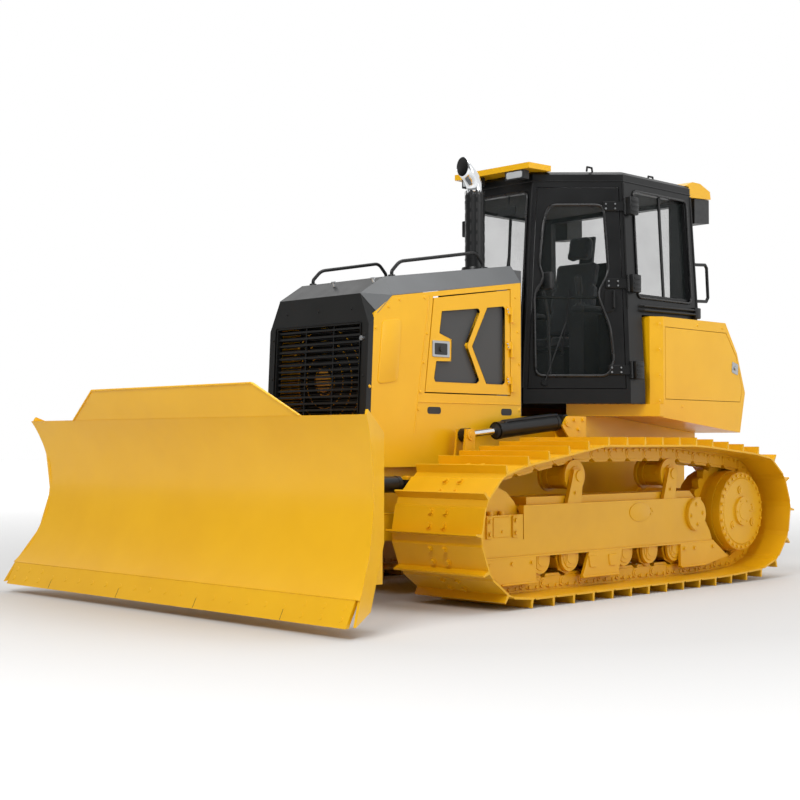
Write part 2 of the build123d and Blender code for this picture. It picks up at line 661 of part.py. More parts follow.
with BuildPart() as bay_door_leaf:
    prism_x(bay_door(0), HOOD_X - DOOR_T, HOOD_X)
    for outline in (MESH_FRONT, MESH_REAR):
        prism_x(outline, HOOD_X - 60, HOOD_X + 10, mode=Mode.SUBTRACT)
    for z in BAY_HINGE_Z:
        disc_z(BAY_HINGE_X, BAY_HINGE_Y, BAY_KNUCKLE_R, z, z + BAY_KNUCKLE_H, sides=SMALL_SIDES)
        box(HOOD_X + 3, BAY_HINGE_X, DOOR_Y1 - 30, BAY_HINGE_Y, z, z + BAY_KNUCKLE_H)
        box(HOOD_X - 2, BAY_HINGE_X, DOOR_Y1 - 30, DOOR_Y1 - 4, z, z + BAY_KNUCKLE_H)
save_pair(bay_door_leaf.part, "engine_door")

with BuildPart() as bay_mesh:
    for outline in (MESH_FRONT, MESH_REAR):
        prism_x(outline, HOOD_X - DOOR_T + 4, HOOD_X - DOOR_T + 8)
save_pair(bay_mesh.part, "engine_door_mesh")

# ---------------------------------------------------------------- exhaust
STACK_X = 190.0
STACK_Y = 60.0
STACK_TOP = 2640.0
STACK_R = 62.0
PIPE_R = 45.0
ELBOW_R = 150.0
ELBOW_TURN = 50.0
ELBOW_STEPS = 3
PIPE_SIDES = 12
with BuildPart() as exhaust:
    foot = hood_z(STACK_Y) + 14
    with BuildSketch(Plane.XY.offset(foot)):
        with Locations((STACK_X, STACK_Y)):
            RegularPolygon(STACK_R + 8, 8)
    extrude(amount=STACK_TOP - foot)
    # tail pipe: a mitred bend leaning forward, cut square
    bend_y, bend_z = STACK_Y - ELBOW_R, STACK_TOP + 50
    turns = [radians(ELBOW_TURN * i / ELBOW_STEPS) for i in range(ELBOW_STEPS + 1)]
    knees = [(STACK_X, bend_y + ELBOW_R * cos(a), bend_z + ELBOW_R * sin(a)) for a in turns]
    with BuildLine() as run:
        Polyline((STACK_X, STACK_Y, STACK_TOP - 10), *knees)
    with BuildSketch(Plane(origin=(STACK_X, STACK_Y, STACK_TOP - 10), x_dir=(1, 0, 0), z_dir=(0, 0, 1))) as bore:
        RegularPolygon(PIPE_R, PIPE_SIDES)
        RegularPolygon(PIPE_R - 4, PIPE_SIDES, mode=Mode.SUBTRACT)
    sweep(bore.sketch, path=run.line, transition=Transition.RIGHT)
save(exhaust.part, "exhaust")

# ---------------------------------------------------------------- handrails
RAIL_R = 11.0
RAIL_RISE = 95.0
RAIL_SIDES = 6
with BuildPart() as handrails:
    # (x, first y, last y) of the two rails on the hood
    for x, y0, y1 in ((HOOD_TOP_X - 34, -870, -30), (34 - HOOD_TOP_X, -920, -260)):
        z0, z1 = hood_z(y0) + 3, hood_z(y1) + 3
        with BuildLine() as path:
            Polyline((x, y0, z0), (x, y0, z0 + 28), (x, y0 + 70, z0 + RAIL_RISE), (x, y1 - 70, z1 + RAIL_RISE),
                     (x, y1, z1 + 28), (x, y1, z1))
        with BuildSketch(Plane(origin=path.line @ 0, z_dir=path.line % 0)) as tube:
            RegularPolygon(RAIL_R, RAIL_SIDES)
        sweep(tube.sketch, path=path.line, transition=Transition.RIGHT)
save(handrails.part, "handrails")

# ================================================================ cab
CAB_H = CAB_Z1 - CAB_Z0


def cab_plan(z, inset=0.0):
    """Plan corners of the cab at a height, moved inwards by inset."""
    share = (z - CAB_Z0) / CAB_H
    front_y = CAB_FRONT_Y + (CAB_TOP_FRONT_Y - CAB_FRONT_Y) * share + inset
    side_x = CAB_SIDE_X + (CAB_TOP_SIDE_X - CAB_SIDE_X) * share - inset
    rear_y = CAB_REAR_Y + (CAB_TOP_REAR_Y - CAB_REAR_Y) * share - inset
    oblique = CAB_FRONT_X - (front_y - inset) - inset * sqrt(2)
    front_x = oblique + front_y
    side_y = side_x - oblique
    return [
        (-front_x, front_y), (front_x, front_y), (side_x, side_y),
        (side_x, rear_y), (-side_x, rear_y), (-side_x, side_y),
    ]


def cab_solid(z0, z1, inset=0.0, mode=Mode.ADD):
    """The cab's tapering body between two heights."""
    sections = []
    for z in (z0, z1):
        with BuildSketch(Plane.XY.offset(z)) as section:
            with BuildLine():
                Polyline(*cab_plan(z, inset), close=True)
            make_face()
        sections.append(section.sketch.face())
    loft(sections, ruled=True, mode=mode)


# the oblique door plane: x runs backwards along the sill, y up the door, z outwards
door_origin = Vector(*cab_plan(CAB_Z0)[1], CAB_Z0)
door_foot = Vector(*cab_plan(CAB_Z0)[2], CAB_Z0) - door_origin
door_head = Vector(*cab_plan(CAB_Z1)[1], CAB_Z1) - door_origin
DOOR_PLANE = Plane(origin=door_origin, x_dir=door_foot, z_dir=door_foot.cross(door_head))
DOOR_FOOT_W = door_foot.length
DOOR_HEAD_IN = DOOR_PLANE.to_local_coords(Vector(*cab_plan(CAB_Z1)[1], CAB_Z1)).X
DOOR_HEAD_OUT = DOOR_PLANE.to_local_coords(Vector(*cab_plan(CAB_Z1)[2], CAB_Z1)).X
DOOR_FACE_H = DOOR_PLANE.to_local_coords(Vector(*cab_plan(CAB_Z1)[1], CAB_Z1)).Y
DOOR_LEAF_T = 40.0
DOOR_SILL = 104.0        # from the foot of the cab to the leaf
DOOR_HEAD = 42.0         # from the roof to the leaf
DOOR_STILE = 34.0        # visible width of the posts beside the leaf
DOOR_GAP = 5.0


def door_outline(grow):
    """Corners of the door leaf in the door plane, grown by a clearance."""
    def front(v):
        return DOOR_HEAD_IN * v / DOOR_FACE_H + DOOR_STILE - grow
    def rear(v):
        return DOOR_FOOT_W + (DOOR_HEAD_OUT - DOOR_FOOT_W) * v / DOOR_FACE_H - DOOR_STILE + grow
    low, high = DOOR_SILL - grow, DOOR_FACE_H - DOOR_HEAD + grow
    return [(front(low), low), (rear(low), low), (rear(high), high), (front(high), high)]


HINGE_OUT = 20.0         # hinge line outside the corner between door plane and side
CAB_HINGE_V = (230.0, 830.0, 1370.0)
HINGE_HALF = 32.0        # half length of the door's knuckle
HINGE_PIN = 26.0         # length of the fixed knuckles beside it
HINGE_R = 11.0
HINGE_SIDE = HINGE_OUT * sin(radians(22.5))
HINGE_UP = HINGE_OUT * cos(radians(22.5))


def on_door(points, w0, w1, mode=Mode.ADD):
    """Extrude an outline drawn in the door plane."""
    with BuildSketch(DOOR_PLANE.offset(w0)) as outline:
        with BuildLine():
            Polyline(*points, close=True)
        make_face()
    extrude(outline.sketch, amount=w1 - w0, mode=mode)


def door_rear(v):
    """Position of the cab's corner in the door plane, v up the door."""
    return DOOR_FOOT_W + (DOOR_HEAD_OUT - DOOR_FOOT_W) * v / DOOR_FACE_H


def hinge_spot(v):
    """A point of the hinge line."""
    return tuple(DOOR_PLANE.from_local_coords(Vector(door_rear(v) + HINGE_SIDE, v, HINGE_UP)))


DOOR_PANE = [            # window of the door in its plane, with the waist of the lock
    (90, 190), (590, 190), (630, 290), (610, 520), (520, 760), (600, 900), (570, 1380),
    (190, 1380), (150, 1250), (120, 960), (155, 870), (85, 760),
]
WINDSCREEN_Z0 = 1560.0
SIDE_PANE_Z = (1965.0, 2705.0)
SIDE_PANE_Y = (1120.0, 1760.0)
WALL_CUT = CAB_WALL * 2

with BuildPart() as hinge_posts:
    for v in CAB_HINGE_V:
        for v0, v1 in ((v - HINGE_HALF - HINGE_PIN, v - HINGE_HALF - 1), (v + HINGE_HALF + 1, v + HINGE_HALF + HINGE_PIN)):
            bar(hinge_spot(v0), hinge_spot(v1), HINGE_R, sides=SMALL_SIDES)
            u = door_rear(v)
            on_door([(u - 6, v0), (u + 14, v0), (u + 14, v1), (u - 6, v1)], -8, HINGE_UP)

with BuildPart() as cab_shell:
    z0 = CAB_Z0 + CAB_BASE_H + SEAT_GAP
    cab_solid(z0, CAB_Z1)
    cab_solid(z0 - 1, CAB_Z1 + 1, inset=CAB_WALL, mode=Mode.SUBTRACT)
    for side in (-1, 1):
        # the fenders stand where the lower side walls would be
        low = sorted((side * (CAB_LOW_X), side * (CAB_SIDE_X + 50)))
        box(*low, FENDER_Y0 - 45, CAB_REAR_Y + 50, z0 - 2, CAB_SILL_Z - 20, mode=Mode.SUBTRACT)
        inner = sorted((side * (CAB_LOW_X - CAB_WALL), side * CAB_LOW_X))
        box(*inner, FENDER_Y0 - 80, CAB_REAR_Y - CAB_WALL, z0, CAB_SILL_Z)
        shelf = sorted((side * (CAB_LOW_X - CAB_WALL), side * (cab_plan(CAB_SILL_Z)[2][0] - 10)))
        box(*shelf, FENDER_Y0 - 80, CAB_REAR_Y - CAB_WALL, CAB_SILL_Z - 20, CAB_SILL_Z)
        front = sorted((side * (CAB_LOW_X - CAB_WALL), side * (cab_plan(CAB_SILL_Z)[2][0] - 10)))
        box(*front, FENDER_Y0 - 91, FENDER_Y0 - 45, z0, CAB_SILL_Z)
    # door openings
    for about in (False, True):
        plane = DOOR_PLANE
        with BuildSketch(plane) as opening:
            with BuildLine():
                Polyline(*door_outline(DOOR_GAP), close=True)
            make_face()
        cut = extrude(opening.sketch, amount=WALL_CUT, both=True, mode=Mode.PRIVATE)
        add(mirror(cut, about=Plane.YZ) if about else cut, mode=Mode.SUBTRACT)
    # side windows, windscreen and rear window
    prism_x([(SIDE_PANE_Y[0], SIDE_PANE_Z[0]), (SIDE_PANE_Y[1], SIDE_PANE_Z[0]),
             (SIDE_PANE_Y[1] - 20, SIDE_PANE_Z[1]), (SIDE_PANE_Y[0], SIDE_PANE_Z[1])],
            -CAB_SIDE_X - 50, CAB_SIDE_X + 50, mode=Mode.SUBTRACT)
    box(-CAB_FRONT_X + 45, CAB_FRONT_X - 45, CAB_FRONT_Y - 60, CAB_TOP_FRONT_Y + 60, WINDSCREEN_Z0, CAB_Z1 - 70,
        mode=Mode.SUBTRACT)
    box(-560, 560, CAB_TOP_REAR_Y - 80, CAB_REAR_Y + 60, CAB_SILL_Z + 90, CAB_Z1 - 70, mode=Mode.SUBTRACT)
    # floor and base band
    with BuildSketch(Plane.XY.offset(CAB_Z0)) as plan:
        with BuildLine():
            corners = cab_plan(CAB_Z0 + CAB_BASE_H)
            Polyline(corners[0], corners[1], corners[2], (corners[2][0], FENDER_Y0 - 46),
                     (CAB_LOW_X, FENDER_Y0 - 46), (CAB_LOW_X, CAB_REAR_Y - 5), (-CAB_LOW_X, CAB_REAR_Y - 5),
                     (-CAB_LOW_X, FENDER_Y0 - 46), (-corners[2][0], FENDER_Y0 - 46), corners[5], close=True)
        make_face()
    extrude(plan.sketch, amount=CAB_BASE_H + SEAT_GAP)
    add(hinge_posts.part)
    add(mirror(hinge_posts.part, about=Plane.YZ, mode=Mode.PRIVATE))
save(cab_shell.part, "cab_shell")

with BuildPart() as cab_roof:
    with BuildSketch(Plane.XY.offset(CAB_Z1 + SEAT_GAP)) as plan:
        with BuildLine():
            Polyline(*cab_plan(CAB_Z1), close=True)
        make_face()
    extrude(plan.sketch, amount=CAB_ROOF_H - SEAT_GAP)
    chamfer(cab_roof.faces().sort_by(Axis.Z)[-1].edges(), length=20)
save(cab_roof.part, "cab_roof")

VISOR_FRONT_Y = 437.0
VISOR_TOP = 40.0
REAR_VISOR_X = 700.0
with BuildPart() as visors:
    z = CAB_Z1 + CAB_ROOF_H + SEAT_GAP
    plan = [(-CAB_FRONT_X - 90, CAB_TOP_FRONT_Y + 90), (CAB_FRONT_X + 90, CAB_TOP_FRONT_Y + 90),
            (CAB_FRONT_X + 75, VISOR_FRONT_Y), (-CAB_FRONT_X - 75, VISOR_FRONT_Y)]
    prism_z(plan, z, z + VISOR_TOP)
    # rear visor, falling away behind the roof
    prism_x([(CAB_TOP_REAR_Y - 40, z), (CAB_TOP_REAR_Y + 60, z + VISOR_TOP), (CAB_TOP_REAR_Y + 160, z + VISOR_TOP),
             (CAB_TOP_REAR_Y + 290, z - 6), (CAB_TOP_REAR_Y + 300, z - 62), (CAB_TOP_REAR_Y + 20, z - 78),
             (CAB_TOP_REAR_Y + 12, z - 40), (CAB_TOP_REAR_Y + 12, z)], -REAR_VISOR_X, REAR_VISOR_X)
save(visors.part, "visors")

with BuildPart() as cab_lamps:
    for side in (-1, 1):
        # lamp housings below the rear visor
        x0, x1 = sorted((side * (REAR_VISOR_X - 190), side * (REAR_VISOR_X - 10)))
        y0 = CAB_TOP_REAR_Y + 100
        prism_x([(y0, z - 76 - SEAT_GAP), (y0 + 190, z - 66 - SEAT_GAP), (y0 + 190, z - 245), (y0, z - 262)], x0, x1)
        # bar lamps below the front visor
        x0, x1 = sorted((side * 120, side * 290))
        box(x0, x1, VISOR_FRONT_Y + 14, VISOR_FRONT_Y + 70, z - 62, z - SEAT_GAP)
save(cab_lamps.part, "cab_lamps")

GLASS_T = 6.0
with BuildPart() as glass:
    # side panes stand inside the leaning side walls
    for side in (-1, 1):
        low = cab_plan(SIDE_PANE_Z[0], CAB_WALL / 2)[2][0]
        high = cab_plan(SIDE_PANE_Z[1], CAB_WALL / 2)[2][0]
        with BuildSketch(Plane.XZ.offset(-SIDE_PANE_Y[0] - 5)) as pane:
            with BuildLine():
                Polyline((side * low, SIDE_PANE_Z[0] + 1), (side * (low - GLASS_T), SIDE_PANE_Z[0] + 1),
                         (side * (high - GLASS_T), SIDE_PANE_Z[1] - 1), (side * high, SIDE_PANE_Z[1] - 1), close=True)
            make_face()
        extrude(pane.sketch, amount=-(SIDE_PANE_Y[1] - SIDE_PANE_Y[0] - 30))
    # windscreen and rear window, in the middle of their leaning walls
    for z0, z1, x, corner in ((WINDSCREEN_Z0, CAB_Z1 - 70, CAB_FRONT_X - 45, 0), (CAB_SILL_Z + 90, CAB_Z1 - 70, 560, 3)):
        low = cab_plan(z0 + 1, CAB_WALL / 2)[corner][1]
        high = cab_plan(z1 - 1, CAB_WALL / 2)[corner][1]
        prism_x([(low, z0 + 1), (low + GLASS_T, z0 + 1), (high + GLASS_T, z1 - 1), (high, z1 - 1)],
                1 - x, x - 1)
save(glass.part, "cab_glass")


with BuildPart() as door:
    on_door(door_outline(0), -DOOR_LEAF_T, 0)
    on_door(DOOR_PANE, -DOOR_LEAF_T - 5, 5, mode=Mode.SUBTRACT)
    for v in CAB_HINGE_V:
        v0, v1 = v - HINGE_HALF, v + HINGE_HALF
        u = door_rear(v)
        bar(hinge_spot(v0), hinge_spot(v1), HINGE_R, sides=SMALL_SIDES)
        on_door([(u - 62, v0), (u + HINGE_SIDE, v0), (u + HINGE_SIDE, v1), (u - 62, v1)], 8, 16)
        on_door([(u - 62, v0), (u - DOOR_STILE - 4, v0), (u - DOOR_STILE - 4, v1), (u - 62, v1)], -2, 12)
save_pair(door.part, "cab_door")

with BuildPart() as door_glass:
    on_door(DOOR_PANE, -DOOR_LEAF_T / 2 - GLASS_T, -DOOR_LEAF_T / 2)
save_pair(door_glass.part, "cab_door_glass")

# ---------------------------------------------------------------- seat and controls
SEAT_Y = 1180.0
FLOOR_Z = CAB_Z0 + CAB_BASE_H + 2 * SEAT_GAP
with BuildPart() as fittings:
    box(-210, 210, SEAT_Y - 200, SEAT_Y + 230, FLOOR_Z, FLOOR_Z + 290)
    for x in (-340, 340):
        box(x - 65, x + 65, SEAT_Y - 220, SEAT_Y + 250, FLOOR_Z, FLOOR_Z + 560)
save(fittings.part, "cab_fittings")
with BuildPart() as seat:
    box(-250, 250, SEAT_Y - 260, SEAT_Y + 240, FLOOR_Z + 290 + SEAT_GAP, FLOOR_Z + 400)
    fillet(seat.edges().filter_by(Axis.Z), 40)
    prism_x([(SEAT_Y + 150, FLOOR_Z + 401 + SEAT_GAP), (SEAT_Y + 240, FLOOR_Z + 401 + SEAT_GAP),
             (SEAT_Y + 360, FLOOR_Z + 990), (SEAT_Y + 290, FLOOR_Z + 1000)], -230, 230)
    prism_x([(SEAT_Y + 289, FLOOR_Z + 998), (SEAT_Y + 360, FLOOR_Z + 988),
             (SEAT_Y + 375, FLOOR_Z + 1200), (SEAT_Y + 300, FLOOR_Z + 1210)], -130, 130)
save(seat.part, "seat")

# ================================================================ fenders and tank
HATCH_T = 26.0
HATCH_GAP = 4.0
FENDER_FACET = 80.0


def fender_profile():
    """Side view of a fender with its sloping foot and bulging rear."""
    return [(FENDER_Y0, DECK_Z0), FOOT_REAR, (2322, 1322), (2216, 1612), (2062, FENDER_TOP),
            (FENDER_Y0, FENDER_TOP)]


def hatch(grow):
    """Side view of the fender's hatch."""
    return [(1300 - grow, 1256 - grow), (2250 + grow, 1254 - grow), (2279 + grow, 1350), (2202 + grow, 1586 + grow),
            (2066 + grow, 1754 + grow), (1300 - grow, 1757 + grow)]


with BuildPart() as fender:
    prism_x(fender_profile(), CAB_LOW_X + SEAT_GAP, FENDER_X)
    with BuildSketch(Plane.XY.offset(1000)) as facet:
        with BuildLine():
            Polyline((FENDER_X - 60, FENDER_Y0 - 1), (FENDER_X + 1, FENDER_Y0 - 1),
                     (FENDER_X + 1, FENDER_Y0 + FENDER_FACET), close=True)
        make_face()
    extrude(facet.sketch, amount=900, mode=Mode.SUBTRACT)
    prism_x(hatch(HATCH_GAP), FENDER_X - HATCH_T - 200, FENDER_X + 5, mode=Mode.SUBTRACT)
    # the step below the door, joined to the fender's foot
    prism_z([(HULL_X + SEAT_GAP, 770), (FENDER_X, 770 + FENDER_X - HULL_X), (FENDER_X, FENDER_Y0 + 90),
             (FENDER_X - 60, FENDER_Y0 + 90), (HULL_X + SEAT_GAP, FENDER_Y0 + 90)], DECK_Z0, CAB_Z0 - SEAT_GAP)
    mirror(about=Plane.YZ)
save(fender.part, "fenders")

with BuildPart() as fender_hatch:
    prism_x(hatch(0), FENDER_X - HATCH_T, FENDER_X)
save_pair(fender_hatch.part, "fender_hatch")

with BuildPart() as tank:
    prism_x([(TANK_Y0, foot_z(TANK_Y0)), FOOT_REAR, (2322, 1322), (2216, 1612), (2062, FENDER_TOP),
             (TANK_Y0, FENDER_TOP)], -CAB_LOW_X, CAB_LOW_X)
save(tank.part, "tank")

with BuildPart() as drawbar:
    box(-90, 90, HULL_REAR + SEAT_GAP, HULL_REAR + 205, 520, 640)
    box(-100, 100, HULL_REAR + 60, HULL_REAR + 210, 555, 605, mode=Mode.SUBTRACT)
    with Locations(Plane.XY.offset(520)):
        with Locations((0, HULL_REAR + 150)):
            Hole(25)
save(drawbar.part, "drawbar")

# ================================================================ push frame
ARM_X0 = ARM_X - ARM_W / 2
ARM_X1 = ARM_X + ARM_W / 2
with BuildPart() as push_frame:
    for side in (-1, 1):
        x0, x1 = sorted((side * ARM_X0, side * ARM_X1))
        prism_x([(ARM_PIVOT_Y - 70, ARM_PIVOT_Z - ARM_H / 2), (ARM_PIVOT_Y + 60, ARM_PIVOT_Z - ARM_H / 2),
                 (ARM_PIVOT_Y + 60, ARM_PIVOT_Z + ARM_H / 2), (ARM_FRONT_Y, ARM_PIVOT_Z + ARM_H / 2),
                 (ARM_FRONT_Y, ARM_PIVOT_Z - ARM_H / 2)], x0, x1)
        disc_x(ARM_PIVOT_Y, ARM_PIVOT_Z, ARM_PIN_R + PIN_GAP, x0 - 5, x1 + 5, mode=Mode.SUBTRACT, sides=TRUE_ROUND)
        # lift cylinder horn
        for x in (side * (LIFT_X - 44), side * (LIFT_X + 30)):
            h0, h1 = sorted((x, x + side * 14))
            prism_x([(LIFT_EYE_Y - 150, ARM_PIVOT_Z), (LIFT_EYE_Y + 170, ARM_PIVOT_Z),
                     (LIFT_EYE_Y + 40, LIFT_EYE_Z - 100), (LIFT_EYE_Y + 34, LIFT_EYE_Z + 38),
                     (LIFT_EYE_Y - 44, LIFT_EYE_Z + 38), (LIFT_EYE_Y - 60, LIFT_EYE_Z - 100)], h0, h1)
        # converging arms towards the nose
        prism_z([(side * ARM_X0, ARM_FRONT_Y + 10), (side * ARM_X1, ARM_FRONT_Y + 10),
                 (side * ARM_X1, ARM_FRONT_Y - 60), (side * 110, BALL_Y + 120), (side * -5, BALL_Y + 120),
                 (side * -5, BEAM_Y + 60), (side * 330, BEAM_Y + 60)], ARM_PIVOT_Z - ARM_H / 2, ARM_PIVOT_Z + ARM_H / 2)
        # angle cylinder clevis on top of the arm
        for z in (ANGLE_Z - EYE_HALF - 18, ANGLE_Z + EYE_HALF + 2):
            x0, x1 = sorted((side * (ANGLE_X - 44), side * (ANGLE_X + 44)))
            box(x0, x1, ANGLE_PIN_Y - 44, ANGLE_PIN_Y + 110, z, z + 16)
        x0, x1 = sorted((side * (ANGLE_X - 44), side * (ANGLE_X + 44)))
        box(x0, x1, ANGLE_PIN_Y + 62, ANGLE_PIN_Y + 110, ARM_PIVOT_Z + ARM_H / 2 - 5, ANGLE_Z + EYE_HALF + 18)
        disc_z(side * ANGLE_X, ANGLE_PIN_Y, LIFT_PIN_R, ANGLE_Z - EYE_HALF - 24, ANGLE_Z + EYE_HALF + 24)
    # fork plates round the yoke
    for z in (BALL_Z - YOKE_HALF - FORK_T - 2, BALL_Z + YOKE_HALF + 2):
        box(-110, 110, BALL_Y, BALL_Y + 200, z, z + FORK_T)
        disc_z(0, BALL_Y, NOSE_R + 15, z, z + FORK_T)
        disc_z(0, BALL_Y, YOKE_PIN_R + PIN_GAP, z - 5, z + FORK_T + 5, mode=Mode.SUBTRACT, sides=TRUE_ROUND)
    box(-110, 110, BALL_Y + 118, BALL_Y + 200, BALL_Z - YOKE_HALF - FORK_T - 2, BALL_Z + YOKE_HALF + FORK_T + 2)
save(push_frame.part, "push_frame")

# ---------------------------------------------------------------- lift cylinders
def cylinder_line(pin, eye):
    """Unit vector and length from a cylinder's pin to its rod eye."""
    run = Vector(*eye) - Vector(*pin)
    return run.normalized(), run.length


lift_pin = (LIFT_X, LIFT_PIN_Y, LIFT_PIN_Z)
lift_eye = (LIFT_X, LIFT_EYE_Y, LIFT_EYE_Z)
lift_way, lift_len = cylinder_line(lift_pin, lift_eye)
LIFT_BARREL = 678.0


def point(start, way, distance):
    """The point at a distance along a direction."""
    return tuple(Vector(*start) + way * distance)


with BuildPart() as lift_barrel:
    disc_x(LIFT_PIN_Y, LIFT_PIN_Z, 46, LIFT_X - 28, LIFT_X + 28)
    bar(point(lift_pin, lift_way, 20), point(lift_pin, lift_way, 90), 27)
    bar(point(lift_pin, lift_way, 80), point(lift_pin, lift_way, LIFT_BARREL), LIFT_BORE_R)
    bar(point(lift_pin, lift_way, 110), point(lift_pin, lift_way, LIFT_BARREL + 5), LIFT_ROD_R + PIN_GAP,
        mode=Mode.SUBTRACT)
    disc_x(LIFT_PIN_Y, LIFT_PIN_Z, LIFT_PIN_R + PIN_GAP, LIFT_X - 60, LIFT_X + 60, mode=Mode.SUBTRACT)
    mirror(about=Plane.YZ)
save(lift_barrel.part, "lift_barrels")

with BuildPart() as lift_rod:
    disc_x(LIFT_EYE_Y, LIFT_EYE_Z, 42, LIFT_X - 28, LIFT_X + 28)
    bar(point(lift_pin, lift_way, lift_len - 560), point(lift_pin, lift_way, lift_len - 20), LIFT_ROD_R)
    mirror(about=Plane.YZ)
save(lift_rod.part, "lift_rods")

# ---------------------------------------------------------------- angle cylinders
angle_pin = (ANGLE_X, ANGLE_PIN_Y, ANGLE_Z)
angle_eye = (ANGLE_EYE_X, ANGLE_EYE_Y, ANGLE_Z)
angle_way, angle_len = cylinder_line(angle_pin, angle_eye)
ANGLE_BORE_R = 48.0
ANGLE_ROD_R = 22.5
ANGLE_BARREL = 590.0


with BuildPart() as angle_barrel:
    disc_z(ANGLE_X, ANGLE_PIN_Y, 42, ANGLE_Z - EYE_HALF, ANGLE_Z + EYE_HALF)
    bar(point(angle_pin, angle_way, 20), point(angle_pin, angle_way, 80), 25)
    bar(point(angle_pin, angle_way, 70), point(angle_pin, angle_way, ANGLE_BARREL), ANGLE_BORE_R)
    bar(point(angle_pin, angle_way, 100), point(angle_pin, angle_way, ANGLE_BARREL + 5), ANGLE_ROD_R + PIN_GAP,
        mode=Mode.SUBTRACT)
    disc_z(ANGLE_X, ANGLE_PIN_Y, LIFT_PIN_R + PIN_GAP, ANGLE_Z - 60, ANGLE_Z + 60, mode=Mode.SUBTRACT)
save_pair(angle_barrel.part, "angle_barrel")

with BuildPart() as angle_rod:
    disc_z(ANGLE_EYE_X, ANGLE_EYE_Y, 40, ANGLE_Z - EYE_HALF, ANGLE_Z + EYE_HALF)
    bar(point(angle_pin, angle_way, angle_len - 585), point(angle_pin, angle_way, angle_len - 20), ANGLE_ROD_R)
save_pair(angle_rod.part, "angle_rod")

# ================================================================ blade carrier
TILT_PIN_R = 50.0
MAST_Y0 = -1975.0
MAST_Y1 = -1935.0
LUG_T = 18.0
LUG_GAP = 5.0            # side play between a rod eye and its lugs
LUG_ROOM = 110.0         # free space beside a rod eye, which drifts as the blade angles

with BuildPart() as yoke:
    disc_z(0, BALL_Y, NOSE_R - 5, BALL_Z - YOKE_HALF, BALL_Z + YOKE_HALF)
    disc_z(0, BALL_Y, YOKE_PIN_R, BALL_Z - YOKE_HALF - FORK_T - 12, BALL_Z + YOKE_HALF + FORK_T + 12,
           sides=TRUE_ROUND)
    # tilt pin, pointing at the blade
    disc_y(0, BALL_Z, TILT_PIN_R, BALL_Y - 205, BALL_Y, sides=TRUE_ROUND)
    disc_y(0, BALL_Z, NOSE_R - 5, BALL_Y - 100, BALL_Y)
    # mast for the tilt cylinder, standing in front of the fork
    prism_x([(MAST_Y0, BALL_Z + YOKE_HALF + FORK_T + 6), (MAST_Y1, BALL_Z + YOKE_HALF + FORK_T + 6),
             (MAST_Y1, TILT_Z + 60), (MAST_Y0, TILT_Z + 60)], TILT_PIN_X - 45, 55)
    disc_y(TILT_PIN_X, TILT_Z, LIFT_PIN_R, MAST_Y0, TILT_Y + 96)
    box(-55, 55, MAST_Y0, BALL_Y + 60, BALL_Z + YOKE_HALF + FORK_T + 6, BALL_Z + YOKE_HALF + FORK_T + 60)
    # cross bar behind the blade, ending in two plates round the rod eye of each angle cylinder
    bar_z = EYE_HALF + LUG_T + LUG_GAP
    box(LUG_ROOM - ANGLE_EYE_X, ANGLE_EYE_X - LUG_ROOM, MAST_Y0 - 15, MAST_Y1 - 5, ANGLE_Z - bar_z, ANGLE_Z + bar_z)
    for z in (ANGLE_Z - bar_z, ANGLE_Z + bar_z - LUG_T):
        for side in (-1, 1):
            prism_z([(side * (ANGLE_EYE_X - LUG_ROOM - 20), MAST_Y0 - 15), (side * (ANGLE_EYE_X + 40), MAST_Y0 - 15),
                     (side * (ANGLE_EYE_X + 50), ANGLE_EYE_Y - 30), (side * (ANGLE_EYE_X + 30), ANGLE_EYE_Y + 42),
                     (side * (ANGLE_EYE_X - 30), ANGLE_EYE_Y + 42), (side * (ANGLE_EYE_X - LUG_ROOM - 20), MAST_Y1 - 5)],
                    z, z + LUG_T)
save(yoke.part, "yoke")

# ---------------------------------------------------------------- tilt cylinder
TILT_BORE_R = 50.0
TILT_ROD_R = 24.0
TILT_BARREL = 440.0
with BuildPart() as tilt_barrel:
    disc_y(TILT_PIN_X, TILT_Z, 44, TILT_Y + 48, TILT_Y + 88)
    bar((TILT_PIN_X + 20, TILT_Y + 68, TILT_Z), (TILT_PIN_X + TILT_BARREL, TILT_Y + 68, TILT_Z), 20)
    bar((TILT_PIN_X + 70, TILT_Y + 68, TILT_Z), (TILT_PIN_X + TILT_BARREL, TILT_Y + 68, TILT_Z), TILT_BORE_R)
    bar((TILT_PIN_X + 90, TILT_Y + 68, TILT_Z), (TILT_PIN_X + TILT_BARREL + 5, TILT_Y + 68, TILT_Z),
        TILT_ROD_R + PIN_GAP, mode=Mode.SUBTRACT)
    disc_y(TILT_PIN_X, TILT_Z, LIFT_PIN_R + PIN_GAP, TILT_Y + 20, TILT_Y + 120, mode=Mode.SUBTRACT)
save(tilt_barrel.part, "tilt_barrel")

with BuildPart() as tilt_rod:
    disc_y(TILT_EYE_X, TILT_Z, 42, TILT_Y + 68 - EYE_HALF, TILT_Y + 68 + EYE_HALF)
    bar((TILT_EYE_X - 420, TILT_Y + 68, TILT_Z), (TILT_EYE_X - 20, TILT_Y + 68, TILT_Z), TILT_ROD_R)
save(tilt_rod.part, "tilt_rod")

# ================================================================ blade
def arc_centre(a, b, c):
    """Centre and radius of the circle through three (y, z) points."""
    d = 2 * (a[0] * (b[1] - c[1]) + b[0] * (c[1] - a[1]) + c[0] * (a[1] - b[1]))
    sq = [p[0] ** 2 + p[1] ** 2 for p in (a, b, c)]
    y = (sq[0] * (b[1] - c[1]) + sq[1] * (c[1] - a[1]) + sq[2] * (a[1] - b[1])) / d
    z = (sq[0] * (c[0] - b[0]) + sq[1] * (a[0] - c[0]) + sq[2] * (b[0] - a[0])) / d
    return y, z, hypot(a[0] - y, a[1] - z)


